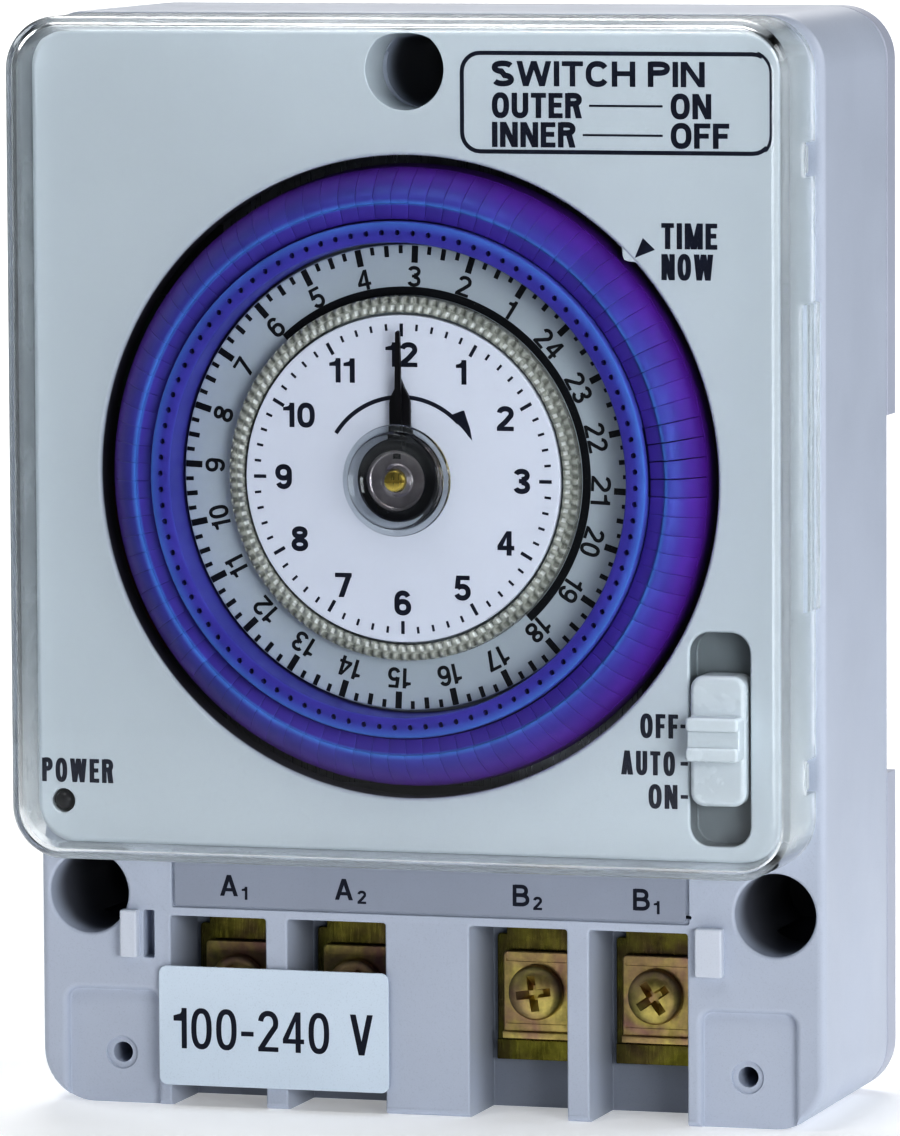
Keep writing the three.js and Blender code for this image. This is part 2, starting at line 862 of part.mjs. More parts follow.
// manual mode slide: OFF, AUTO, ON
{
  let s = rrSoft(KNOB.x0, KNOB.x1, KNOB.z0, KNOB.z1, 1.7, -8.6, -4.3, 0.5, 3);
  s = union(
    s,
    rr(KNOB.x0 + 0.2, KNOB.x1 - 0.2, 46, 47.7, 0.5, -11.5, -8, 2),
    rr(KNOB.x0 + 0.2, KNOB.x1 - 0.2, 49.6, 51.3, 0.5, -11.5, -8, 2),
    rr(KNOB.x0 + 0.2, KNOB.x1 - 0.2, 46.4, 51, 0.5, -10.6, -8, 2),
    box(38.05, 40.05, -5, 2.2, 47, 49.4),
  );
  put("slide", "mode_slider", s, mat(0xe2e4ea, 0.25));
  put(
    "slide",
    "slider_carriage",
    cut(
      box(35.4, 43.2, -2.3, -0.9, 41.6, 55.4),
      box(37.75, 40.35, -3, 0, 46.7, 49.7),
    ),
    mat(0x8c8f96, 0.5),
  );
  put(
    "switching",
    "mode_switch",
    cut(
      box(34.4, 44.4, 0.2, 7.6, 38, 61),
      box(37.6, 40.5, 0, 3.2, 42.4, 54.0),
    ),
    mat(0x2a2c30, 0.5),
  );
}
// ---------------------------------------------------------------- terminals
POCKETS.forEach(([x0, x1], i) => {
  const xc = (x0 + x1) / 2,
    n = i + 1;
  put(
    "terminals",
    "terminal_plate_" + n,
    cut(
      union(
        box(xc - 5.4, xc + 5.4, 9.5, 10.2, 6.0, 21.6),
        box(xc - 4.2, xc + 4.2, 9.5, 10.2, 20, 31),
        box(xc - 5.4, xc + 5.4, 9.2, 9.8, 6.0, 8.5), // raised rest for the wire, below the washer
      ),
      cyl(xc, SCREW_Z, 2.0, 9, 11, 10),
    ),
    mat(brass, 0.35, 1),
  );
  put(
    "terminals",
    "clamp_washer_" + n,
    cut(
      union(
        rr(xc - 4.3, xc + 4.3, 8.8, 19.6, 0.6, 8.3, 9.2, 2),
        box(xc - 4.3, xc + 4.3, 7.7, 9.2, 8.8, 9.7),
      ),
      cyl(xc, SCREW_Z, 2.0, 7, 11, 10),
    ),
    mat(zinc, 0.35, 1),
  );
  put(
    "terminals",
    "terminal_screw_" + n,
    cut(
      union(
        lathe(
          [
            [0.001, 8.0],
            [3.4, 8.0],
            [3.4, 7.2],
            [2.7, 6.6],
            [0.001, 6.35],
          ],
          16,
          SCREW_Z,
          xc,
        ),
        cyl(xc, SCREW_Z, 1.7, 6.9, 13, 8),
      ),
      box(xc - 1.9, xc + 1.9, 6, 7.3, SCREW_Z - 0.4, SCREW_Z + 0.4),
      box(xc - 0.4, xc + 0.4, 6, 7.3, SCREW_Z - 1.9, SCREW_Z + 1.9),
    ),
    mat(zinc, 0.3, 1),
  );
});
// ---------------------------------------------------------------- electronics
put(
  "electronics",
  "power_led",
  union(
    lathe(
      [
        [0.001, -7.75],
        [0.8, -7.6],
        [1.2, -7.1],
        [1.2, -2.6],
        [0.001, -2.6],
      ],
      12,
      38.5,
      -44.2,
    ),
    box(-44.3, -44.0, -3, 14.2, 38.35, 38.65),
    box(-43.6, -43.3, -3, 14.2, 38.35, 38.65),
  ),
  mat(0x1c1416, 0.2),
);
put(
  "electronics",
  "circuit_board",
  cut(
    box(-46, -30, 14.5, 16.1, 36, 108),
    cyl(-38, 40, 1.3, 14, 17, 12),
    cyl(-33, 104, 1.3, 14, 17, 12),
  ),
  mat(0x2e6a44, 0.5),
);
put(
  "electronics",
  "capacitor",
  rrSoft(-44.5, -31.5, 56, 76, 1.2, 6.2, 14.2, 0.6, 2),
  mat(0x9a3a2a, 0.4),
);
put(
  "electronics",
  "backup_battery",
  cyl(-38, 92, 7.4, 7.6, 14.2, 20),
  mat(0x2c7a52, 0.4),
);

export default root;
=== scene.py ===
"""Looks of the programmable timer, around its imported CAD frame.

Shapes are written in the part's own millimetres (X right, Y into the case from the front of the terminal block, Z up)
and moved into the row frame when a piece is finished.
"""

import json
import math
import random

import bmesh
import bpy
from mathutils import Matrix, Vector


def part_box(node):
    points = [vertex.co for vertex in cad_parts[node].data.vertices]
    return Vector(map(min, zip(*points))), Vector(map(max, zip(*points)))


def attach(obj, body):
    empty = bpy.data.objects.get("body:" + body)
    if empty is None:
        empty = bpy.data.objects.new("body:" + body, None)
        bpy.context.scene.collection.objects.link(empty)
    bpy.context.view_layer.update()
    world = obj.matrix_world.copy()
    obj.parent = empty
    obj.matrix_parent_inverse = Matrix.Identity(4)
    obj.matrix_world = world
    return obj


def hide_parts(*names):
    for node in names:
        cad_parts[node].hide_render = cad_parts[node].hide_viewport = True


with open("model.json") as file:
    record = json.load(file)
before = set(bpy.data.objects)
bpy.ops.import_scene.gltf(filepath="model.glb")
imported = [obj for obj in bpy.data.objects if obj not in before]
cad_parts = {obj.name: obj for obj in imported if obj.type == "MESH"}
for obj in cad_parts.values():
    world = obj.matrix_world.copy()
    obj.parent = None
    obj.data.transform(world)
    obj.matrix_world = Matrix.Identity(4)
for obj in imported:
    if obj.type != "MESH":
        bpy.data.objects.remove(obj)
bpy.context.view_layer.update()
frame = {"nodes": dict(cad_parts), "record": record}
random.seed(7)
scene = bpy.context.scene
NODES = frame["nodes"]

# ------------------------------------------------------------------ frame of the part
_lo, _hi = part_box("base_housing")
OFF = Vector(((_lo.x + _hi.x) * 500.0, _hi.y * 1000.0 - 30.8, _lo.z * 1000.0))
TO_ROW = Matrix.Scale(0.001, 4) @ Matrix.Translation(OFF)
DIAL_Z = 79.0
PI = math.pi


def at(r, deg):
    """Point on the dial face: radius, degrees clockwise from the top."""
    a = math.radians(deg)
    return r * math.sin(a), DIAL_Z + r * math.cos(a)


# ------------------------------------------------------------------ mesh helpers
def rr(x0, x1, z0, z1, r, n=8):
    """Rounded rectangle in XZ."""
    r = max(min(r, (x1 - x0) / 2 - 1e-3, (z1 - z0) / 2 - 1e-3), 0.01)
    pts = []
    for cx, cz, a0 in (
        (x1 - r, z1 - r, 0),
        (x0 + r, z1 - r, 90),
        (x0 + r, z0 + r, 180),
        (x1 - r, z0 + r, 270),
    ):
        for i in range(n + 1):
            a = math.radians(a0 + 90.0 * i / n)
            pts.append((cx + r * math.cos(a), cz + r * math.sin(a)))
    return pts


def circle(cx, cz, r, n=64):
    return [
        (cx + r * math.cos(2 * PI * i / n), cz + r * math.sin(2 * PI * i / n))
        for i in range(n)
    ]


def add_loft(bm, rings):
    """One closed solid from outlines of equal length, each (outline, y)."""
    rows = [[bm.verts.new((x, y, z)) for x, z in pts] for pts, y in rings]
    n = len(rows[0])
    faces = []
    for a, b in zip(rows, rows[1:]):
        for i in range(n):
            j = (i + 1) % n
            faces.append(bm.faces.new((a[i], a[j], b[j], b[i])))
    faces.append(bm.faces.new(rows[0][::-1]))
    faces.append(bm.faces.new(rows[-1]))
    return faces


def plate_rings(x0, x1, z0, z1, r, y0, y1, rf=0.3, rb=0.2, n=8, k=4):
    """Rounded plate: rf rounds the edge at y0 (front), rb the one at y1."""
    out = []
    for i in range(k + 1):
        a = PI / 2 * i / k
        out.append((rf * (1 - math.sin(a)), y0 + rf * (1 - math.cos(a))))
    for i in range(k + 1):
        a = PI / 2 * i / k
        out.append((rb * (1 - math.cos(a)), y1 - rb * (1 - math.sin(a))))
    return [
        (rr(x0 + o, x1 - o, z0 + o, z1 - o, max(r - o, 0.03), n), y) for o, y in out
    ]


def cutter_rings(x0, x1, z0, z1, r, y0, y1, lip=0.3, fl=0.15, n=8, k=4, over=2.0):
    """Pocket cutter from the surface y0 down to y1: lip flares its mouth, fl rounds its floor."""
    out = [(lip, y0 - over)]
    for i in range(k + 1):
        a = PI / 2 * i / k
        out.append((lip * (1 - math.sin(a)), y0 + lip * (1 - math.cos(a))))
    if fl > 0:
        for i in range(k + 1):
            a = PI / 2 * i / k
            out.append((-fl * (1 - math.cos(a)), y1 - fl * (1 - math.sin(a))))
    else:
        out.append((0, y1))
    return [(rr(x0 - o, x1 + o, z0 - o, z1 + o, r + o, n), y) for o, y in out]


def hole_rings(cx, cz, r, y0, y1, lip=0.3, n=64, k=4, over=2.0):
    out = [(lip, y0 - over)]
    for i in range(k + 1):
        a = PI / 2 * i / k
        out.append((lip * (1 - math.sin(a)), y0 + lip * (1 - math.cos(a))))
    out.append((0, y1))
    return [(circle(cx, cz, r + o, n), y) for o, y in out]


def add_lathe(bm, profile, n=128, cx=0.0, cz=DIAL_Z, mod=None, a0=0.0, a1=2 * PI):
    """Solid of revolution about a line along Y. The profile closes on itself, or starts and ends on the axis."""
    open_ended = profile[0][0] < 1e-6 and profile[-1][0] < 1e-6
    rows = []
    for r, y in profile:
        if r < 1e-6:
            rows.append([bm.verts.new((cx, y, cz))])
            continue
        row = []
        for i in range(n):
            a = a0 + (a1 - a0) * i / n
            q, w = mod(r, y, a) if mod else (r, y)
            row.append(bm.verts.new((cx + q * math.sin(a), w, cz + q * math.cos(a))))
        rows.append(row)
    pairs = list(zip(rows, rows[1:]))
    if not open_ended:
        pairs.append((rows[-1], rows[0]))
    for a, b in pairs:
        for i in range(n):
            j = (i + 1) % n
            if len(a) == 1 and len(b) == 1:
                continue
            if len(a) == 1:
                bm.faces.new((a[0], b[j], b[i]))
            elif len(b) == 1:
                bm.faces.new((a[i], a[j], b[0]))
            else:
                bm.faces.new((a[i], a[j], b[j], b[i]))


def add_box(bm, x0, x1, y0, y1, z0, z1, bevel=0.15, seg=2):
    """Block with every edge rounded."""
    r = bmesh.ops.create_cube(bm, size=1.0)
    for v in r["verts"]:
        v.co = Vector(
            (
                (x0 + x1) / 2 + v.co.x * (x1 - x0),
                (y0 + y1) / 2 + v.co.y * (y1 - y0),
                (z0 + z1) / 2 + v.co.z * (z1 - z0),
            )
        )
    if bevel > 0:
        edges = list({e for v in r["verts"] for e in v.link_edges})
        bmesh.ops.bevel(
            bm,
            geom=edges,
            offset=bevel,
            segments=seg,
            affect="EDGES",
            profile=0.5,
            clamp_overlap=True,
        )


def add_prism_x(bm, pts, x0, x1):
    """Solid from an outline of (y, z) points, along X."""
    a = [bm.verts.new((x0, y, z)) for y, z in pts]
    b = [bm.verts.new((x1, y, z)) for y, z in pts]
    n = len(pts)
    for i in range(n):
        j = (i + 1) % n
        bm.faces.new((a[i], a[j], b[j], b[i]))
    bm.faces.new(a[::-1])
    bm.faces.new(b)


def add_prism_y(bm, pts, y0, y1, edge=0.0):
    """Solid from an outline of (x, z) points, along Y, its front edge optionally drawn in."""
    rings = []
    if edge > 0:
        cx = sum(p[0] for p in pts) / len(pts)
        cz = sum(p[1] for p in pts) / len(pts)
        far = max(math.hypot(p[0] - cx, p[1] - cz) for p in pts)
        s = 1 - edge / far
        rings.append(([(cx + (x - cx) * s, cz + (z - cz) * s) for x, z in pts], y0))
        rings.append((pts, y0 + edge))
    else:
        rings.append((pts, y0))
    rings.append((pts, y1))
    add_loft(bm, rings)


def cylinder_along(bm, p, q, r, n=24, edge=0.1):
    """Round bar between two points, its ends rounded off."""
    p, q = Vector(p), Vector(q)
    d = (q - p).normalized()
    u = d.orthogonal().normalized()
    w = d.cross(u)
    length = (q - p).length
    st = [(r - edge, 0), (r, edge), (r, length - edge), (r - edge, length)]
    rows = []
    for rad, t in st:
        rows.append(
            [
                bm.verts.new(
                    p
                    + d * t
                    + u * (rad * math.cos(2 * PI * i / n))
                    + w * (rad * math.sin(2 * PI * i / n))
                )
                for i in range(n)
            ]
        )
    for a, b in zip(rows, rows[1:]):
        for i in range(n):
            j = (i + 1) % n
            bm.faces.new((a[i], a[j], b[j], b[i]))
    bm.faces.new(rows[0][::-1])
    bm.faces.new(rows[-1])


def as_object(name, bm):
    bmesh.ops.recalc_face_normals(bm, faces=bm.faces)
    me = bpy.data.meshes.new(name)
    bm.to_mesh(me)
    bm.free()
    o = bpy.data.objects.new(name, me)
    scene.collection.objects.link(o)
    return o


def make(name, *adders):
    """One object from several functions that each add a closed solid."""
    bm = bmesh.new()
    for f in adders:
        f(bm)
    return as_object(name, bm)


def lofted(*rings_list):
    def f(bm):
        for rings in rings_list:
            add_loft(bm, rings)

    return f


def apply_mods(o):
    deps = bpy.context.evaluated_depsgraph_get()
    deps.update()
    me = bpy.data.meshes.new_from_object(o.evaluated_get(deps))
    o.modifiers.clear()
    old = o.data
    o.data = me
    bpy.data.meshes.remove(old)
    return o


def boolean(o, steps):
    """steps: list of ("-", cutter), ("+", piece) or ("*", piece), applied in order."""
    kinds = {"-": "DIFFERENCE", "+": "UNION", "*": "INTERSECT"}
    tools = []
    for kind, t in steps:
        m = o.modifiers.new("b", "BOOLEAN")
        m.operation = kinds[kind]
        m.object = t
        m.solver = "MANIFOLD"
        tools.append(t)
    bpy.context.view_layer.update()
    apply_mods(o)
    for t in tools:
        bpy.data.objects.remove(t)
    return o


def tidy(o, angle=32.0):
    """Welds what the cuts left, and marks the sharp edges."""
    bm = bmesh.new()
    bm.from_mesh(o.data)
    bmesh.ops.remove_doubles(bm, verts=bm.verts, dist=2e-4)
    bmesh.ops.dissolve_degenerate(bm, edges=bm.edges, dist=1e-4)
    limit = math.radians(angle)
    for f in bm.faces:
        f.smooth = True
    for e in bm.edges:
        e.smooth = len(e.link_faces) == 2 and e.calc_face_angle(0.0) < limit
    bm.to_mesh(o.data)
    bm.free()
    return o


def finish_piece(
    o, body, mat, replaces=(), angle=32.0, weighted=True, mats=None
):
    tidy(o, angle)
    o.data.transform(TO_ROW)
    o.data.materials.clear()
    for m in mats or [mat]:
        o.data.materials.append(m)
    if weighted:
        m = o.modifiers.new("normals", "WEIGHTED_NORMAL")
        m.keep_sharp = True
        m.weight = 50
    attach(o, body)
    if replaces:
        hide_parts(*replaces)
    return o


# ------------------------------------------------------------------ lettering and printed marks
INK = 0.02  # how far a print stands off its surface
WIDTHS = {
    "A": 0.66, "B": 0.6, "C": 0.62, "D": 0.62, "E": 0.52, "F": 0.5, "H": 0.62, "M": 0.8, "N": 0.63,
    "O": 0.64, "P": 0.58, "R": 0.62, "S": 0.59, "T": 0.56, "U": 0.62, "V": 0.62, "W": 0.92,
    "0": 0.56, "1": 0.36, "2": 0.55, "3": 0.55, "4": 0.58, "5": 0.55, "6": 0.56, "7": 0.53, "8": 0.56,
    "9": 0.56, "-": 0.34,
}


def bend(cx, cz, rx, rz, a0, a1, n=14, p=2.3):
    """Points of a slightly squared ellipse, degrees anticlockwise from the right."""
    out = []
    for i in range(n + 1):
        a = math.radians(a0 + (a1 - a0) * i / n)
        c, s = math.cos(a), math.sin(a)
        out.append(
            (
                cx + rx * math.copysign(abs(c) ** (2 / p), c),
                cz + rz * math.copysign(abs(s) ** (2 / p), s),
            )
        )
    return out


def letter_shapes(ch, w, t):
    """Solids of one character in a box w wide and 1 high with stems t wide: ("p", outline) or ("s", line, closed)."""
    u = 0.86 * t
    h = t / 2
    m = w / 2
    k = 1.12 * t

    def bar(x0, x1, z0, z1):
        return ("p", [(x0, z0), (x1, z0), (x1, z1), (x0, z1)])

    def slant(xa, za, xb, zb, g=k):
        return ("p", [(xa, za), (xa + g, za), (xb + g, zb), (xb, zb)])

    left = bar(0, t, 0, 1)
    right = bar(w - t, w, 0, 1)
    rx = m - h
    if ch == "I":
        return [left]
    if ch == "E":
        return [left, bar(0, w, 0, u), bar(0, w, 1 - u, 1), bar(0, w * 0.92, 0.52 - u / 2, 0.52 + u / 2)]
    if ch == "F":
        return [left, bar(0, w, 1 - u, 1), bar(0, w * 0.9, 0.5 - u / 2, 0.5 + u / 2)]
    if ch == "H":
        return [left, right, bar(0, w, 0.52 - u / 2, 0.52 + u / 2)]
    if ch == "T":
        return [bar(m - h, m + h, 0, 1), bar(0, w, 1 - u, 1)]
    if ch == "N":
        return [left, right, slant(w - k, 0, 0, 1)]
    if ch == "M":
        return [left, right, slant(m - k / 2, 0, 0, 1), slant(m - k / 2, 0, w - k, 1)]
    if ch == "V":
        return [slant(m - k / 2, 0, 0, 1), slant(m - k / 2, 0, w - k, 1)]
    if ch == "W":
        q = w / 4
        g = 1.02 * t
        return [
            slant(q + h * 0.2 - g / 2, 0, 0, 1, g),
            slant(q + h * 0.2 - g / 2, 0, m - g / 2, 1, g),
            slant(w - q - h * 0.2 - g / 2, 0, m - g / 2, 1, g),
            slant(w - q - h * 0.2 - g / 2, 0, w - g, 1, g),
        ]
    if ch == "A":
        return [slant(0, 0, m - k / 2, 1), slant(w - k, 0, m - k / 2, 1), bar(w * 0.2, w * 0.8, 0.22, 0.22 + u)]
    if ch == "U":
        line = [(h, 1.0), (h, 0.34)] + bend(m, 0.34, rx, 0.34 - u / 2, 180, 360)[1:-1]
        return [("s", line + [(w - h, 0.34), (w - h, 1.0)], False)]
    if ch in "O0":
        return [("s", bend(m, 0.5, rx, 0.5 - u / 2, 0, 360, 40, 2.45)[:-1], True)]
    if ch == "C":
        return [("s", bend(m, 0.5, rx, 0.5 - u / 2, 34, 326, 30, 2.4), False)]
    if ch == "D":
        line = [(h, 1 - u / 2), (m, 1 - u / 2)] + bend(m, 0.5, rx, 0.5 - u / 2, 90, -90, 18, 2.4)[1:-1]
        return [left, ("s", line + [(m, u / 2), (h, u / 2)], False)]
    if ch in "PR":
        lo = 0.46 if ch == "P" else 0.48
        mid = (1 + lo) / 2
        line = [(h, 1 - u / 2), (m, 1 - u / 2)] + bend(m, mid, rx, (1 - lo) / 2 - u / 2, 90, -90, 16)[1:-1]
        out = [left, ("s", line + [(m, lo + u / 2), (h, lo + u / 2)], False)]
        if ch == "R":
            out.append(slant(w - k, 0, w * 0.42, lo + u * 0.6))
        return out
    if ch == "B":
        out = [left]
        for lo, hi, q in ((0.5 - u / 2 + 0.02, 1.0, 0.92), (0.0, 0.5 + u / 2 + 0.02, 1.0)):
            rq = w * q - h - m
            line = [(h, hi - u / 2), (m, hi - u / 2)]
            line += bend(m, (hi + lo) / 2, rq, (hi - lo) / 2 - u / 2, 90, -90, 16)[1:-1]
            out.append(("s", line + [(m, lo + u / 2), (h, lo + u / 2)], False))
        return out
    if ch == "S":
        up = bend(m, 0.745, rx, 0.255 - u / 2, 22, 262, 22, 2.2)
        lo = bend(m, 0.262, rx, 0.262 - u / 2, 80, -158, 22, 2.2)
        return [("s", up + lo, False)]
    if ch == "1":
        return [
            right,
            (
                "p",
                [(0, 0.68), (w - h, 0.68), (w - h, 1), (w - t * 0.82, 1), (w - t, 0.92), (w - t * 1.25, 0.86), (0, 0.81)],
            ),
        ]
    if ch == "2":
        line = bend(m, 0.71, rx, 0.29 - u / 2, 172, -22, 20, 2.2)
        return [("s", line + [(m, 0.36), (h + 0.05 * w, u * 0.95), (h, u * 0.4)], False), bar(0, w, 0, u)]
    if ch == "3":
        return [
            ("s", bend(m, 0.745, rx * 0.95, 0.255 - u / 2, 165, -90, 22, 2.2), False),
            ("s", bend(m, 0.272, rx, 0.272 - u / 2, 90, -165, 22, 2.2), False),
            bar(m - 0.16 * w, m + 0.06 * w, 0.51 - u / 2, 0.51 + u / 2),
        ]
    if ch == "4":
        xs = w * 0.84 - t
        return [
            bar(xs, xs + t, 0, 1),
            bar(0, w, 0.22, 0.22 + u),
            ("p", [(0, 0.22), (t * 0.95, 0.22 + u * 0.6), (xs + t * 0.2, 0.84), (xs + t, 1), (xs, 1), (0, 0.22 + u)]),
        ]
    if ch == "5":
        return [
            bar(w * 0.14, w * 0.94, 1 - u, 1),
            slant(w * 0.05, 0.46, w * 0.14, 1, t),
            ("s", bend(m, 0.32, rx, 0.33 - u / 2, 142, -160, 24, 2.2), False),
        ]
    if ch in "69":
        ring = bend(m, 0.325, rx, 0.325 - u / 2, 0, 360, 32, 2.2)[:-1]
        tail = bend(m, 0.62, rx, 0.38 - u / 2, 28, 180, 18, 2.2) + [(h, 0.33)]
        if ch == "9":
            ring = [(w - x, 1 - z) for x, z in ring]
            tail = [(w - x, 1 - z) for x, z in tail]
        return [("s", ring, True), ("s", tail, False)]
    if ch == "7":
        return [bar(0, w, 1 - u, 1), slant(w * 0.2, 0, w - k, 1 - u * 0.5)]
    if ch == "8":
        return [
            ("s", bend(m, 0.75, rx * 0.92, 0.25 - u / 2, 0, 360, 30, 2.2)[:-1], True),
            ("s", bend(m, 0.27, rx, 0.27 - u / 2, 0, 360, 30, 2.2)[:-1], True),
        ]
    return [bar(0, w, 0.36, 0.36 + u)]


def add_line(bm, pts, t, closed):
    """Flat band of width t along a line, 1 deep."""
    n = len(pts)
    sides = []
    for i in range(n):
        p = Vector(pts[i])
        a = Vector(pts[i - 1]) if (closed or i > 0) else None
        b = Vector(pts[(i + 1) % n]) if (closed or i < n - 1) else None
        d1 = (p - a).normalized() if a is not None else (b - p).normalized()
        d2 = (b - p).normalized() if b is not None else d1
        d = d1 + d2
        d = d.normalized() if d.length > 1e-6 else d1
        off = Vector((-d.y, d.x))
        c = max(off.dot(Vector((-d1.y, d1.x))), 0.6)
        sides.append((p + off * (t / 2 / c), p - off * (t / 2 / c)))
    f = [[bm.verts.new((q.x, 0.0, q.y)) for q in pair] for pair in sides]
    g = [[bm.verts.new((q.x, 1.0, q.y)) for q in pair] for pair in sides]
    for i in range(n if closed else n - 1):
        j = (i + 1) % n
        bm.faces.new((f[i][0], f[j][0], f[j][1], f[i][1]))
        bm.faces.new((g[i][0], g[i][1], g[j][1], g[j][0]))
        bm.faces.new((f[i][0], g[i][0], g[j][0], f[j][0]))
        bm.faces.new((f[i][1], f[j][1], g[j][1], g[i][1]))
    if not closed:
        bm.faces.new((f[0][0], f[0][1], g[0][1], g[0][0]))
        bm.faces.new((f[-1][0], g[-1][0], g[-1][1], f[-1][1]))


LETTERS = {}


def letter(ch, w, t):
    """Mesh of one character, its strokes joined into one solid, kept for reuse."""
    key = (ch, round(w, 3), round(t, 3))
    if key not in LETTERS:
        solids = []
        for shape in letter_shapes(ch, w, t):
            bm = bmesh.new()
            if shape[0] == "p":
                add_loft(bm, [(shape[1], 0.0), (shape[1], 1.0)])
            else:
                add_line(bm, shape[1], t if len(shape[1]) > 3 else t, shape[2])
            solids.append(as_object("stroke", bm))
        o = solids[0]
        if len(solids) > 1:
            boolean(o, [("+", other) for other in solids[1:]])
        bm = bmesh.new()
        bm.from_mesh(o.data)
        bmesh.ops.remove_doubles(bm, verts=bm.verts, dist=1e-5)
        bmesh.ops.dissolve_limit(
            bm, angle_limit=0.01, verts=bm.verts, edges=bm.edges, use_dissolve_boundaries=False
        )
        bm.verts.index_update()
        LETTERS[key] = (
            [tuple(v.co) for v in bm.verts],
            [[v.index for v in f.verts] for f in bm.faces],
        )
        bm.free()
        bpy.data.objects.remove(o)
    return LETTERS[key]


def add_text(bm, body, x0, x1, z0, z1, y, stem=0.17, gap=0.15, turn=0.0, about=None):
    """A line of text that fills the box x0..x1, z0..z1 on the plane y, facing the front, then turned clockwise."""
    high = z1 - z0
    fixed = gap * (len(body) - 1)
    free = 0.0
    for ch in body:
        if ch == " ":
            fixed += 0.3
        elif ch == "I":
            fixed += stem
        else:
            free += WIDTHS[ch]
    k = ((x1 - x0) / high - fixed) / free if free else 1.0
    t = math.radians(turn)
    cx, cz = about if about else ((x0 + x1) / 2, (z0 + z1) / 2)
    pen = 0.0
    for ch in body:
        if ch == " ":
            pen += 0.3 + gap
            continue
        w = stem if ch == "I" else WIDTHS[ch] * k
        verts, faces = letter(ch, w, stem)
        new = []
        for vx, vy, vz in verts:
            dx = x0 + (pen + vx) * high - cx
            dz = z0 + vz * high - cz
            new.append(
                bm.verts.new(
                    (
                        cx + dx * math.cos(t) + dz * math.sin(t),
                        y - INK if vy < 0.5 else y + INK * 0.4,
                        cz - dx * math.sin(t) + dz * math.cos(t),
                    )
                )
            )
        for f in faces:
            try:
                bm.faces.new([new[i] for i in f])
            except ValueError:
                pass
        pen += w + gap


def add_mark(bm, pts, y):
    """Flat printed shape from an (x, z) outline."""
    add_loft(bm, [(pts, y - INK), (pts, y + INK * 0.4)])


def ray_mark(bm, r0, r1, deg, width, y):
    a = math.radians(deg)
    s, c = math.sin(a), math.cos(a)
    pts = []
    for r, t in ((r0, -width / 2), (r1, -width / 2), (r1, width / 2), (r0, width / 2)):
        pts.append((r * s + t * c, DIAL_Z + r * c - t * s))
    add_mark(bm, pts, y)


def arc_mark(bm, r, width, d0, d1, y, n=64):
    """Printed arc as one closed strip."""
    outer = [at(r + width / 2, d0 + (d1 - d0) * i / n) for i in range(n + 1)]
    inner = [at(r - width / 2, d0 + (d1 - d0) * i / n) for i in range(n + 1)]
    f0 = [bm.verts.new((x, y - INK, z)) for x, z in outer]
    g0 = [bm.verts.new((x, y - INK, z)) for x, z in inner]
    f1 = [bm.verts.new((x, y + INK * 0.4, z)) for x, z in outer]
    g1 = [bm.verts.new((x, y + INK * 0.4, z)) for x, z in inner]
    for i in range(n):
        bm.faces.new((f0[i], f0[i + 1], g0[i + 1], g0[i]))
        bm.faces.new((f1[i], g1[i], g1[i + 1], f1[i + 1]))
        bm.faces.new((f0[i], f1[i], f1[i + 1], f0[i + 1]))
        bm.faces.new((g0[i], g0[i + 1], g1[i + 1], g1[i]))
    bm.faces.new((f0[0], g0[0], g1[0], f1[0]))
    bm.faces.new((f0[n], f1[n], g1[n], g0[n]))


def frame_mark(bm, x0, x1, z0, z1, r, width, y, n=6):
    """Printed rounded frame line."""
    o = rr(x0, x1, z0, z1, r, n)
    i_ = rr(x0 + width, x1 - width, z0 + width, z1 - width, max(r - width, 0.1), n)
    m = len(o)
    a0 = [bm.verts.new((x, y - INK, z)) for x, z in o]
    b0 = [bm.verts.new((x, y - INK, z)) for x, z in i_]
    a1 = [bm.verts.new((x, y + INK * 0.4, z)) for x, z in o]
    b1 = [bm.verts.new((x, y + INK * 0.4, z)) for x, z in i_]
    for k in range(m):
        j = (k + 1) % m
        bm.faces.new((a0[k], a0[j], b0[j], b0[k]))
        bm.faces.new((a1[k], b1[k], b1[j], a1[j]))
        bm.faces.new((a0[k], a1[k], a1[j], a0[j]))
        bm.faces.new((b0[k], b0[j], b1[j], b1[k]))


# ------------------------------------------------------------------ materials
def lin(c):
    """sRGB 0-255 to linear."""
    out = []
    for v in c:
        v = v / 255.0
        out.append(v / 12.92 if v <= 0.04045 else ((v + 0.055) / 1.055) ** 2.4)
    return (*out, 1.0)


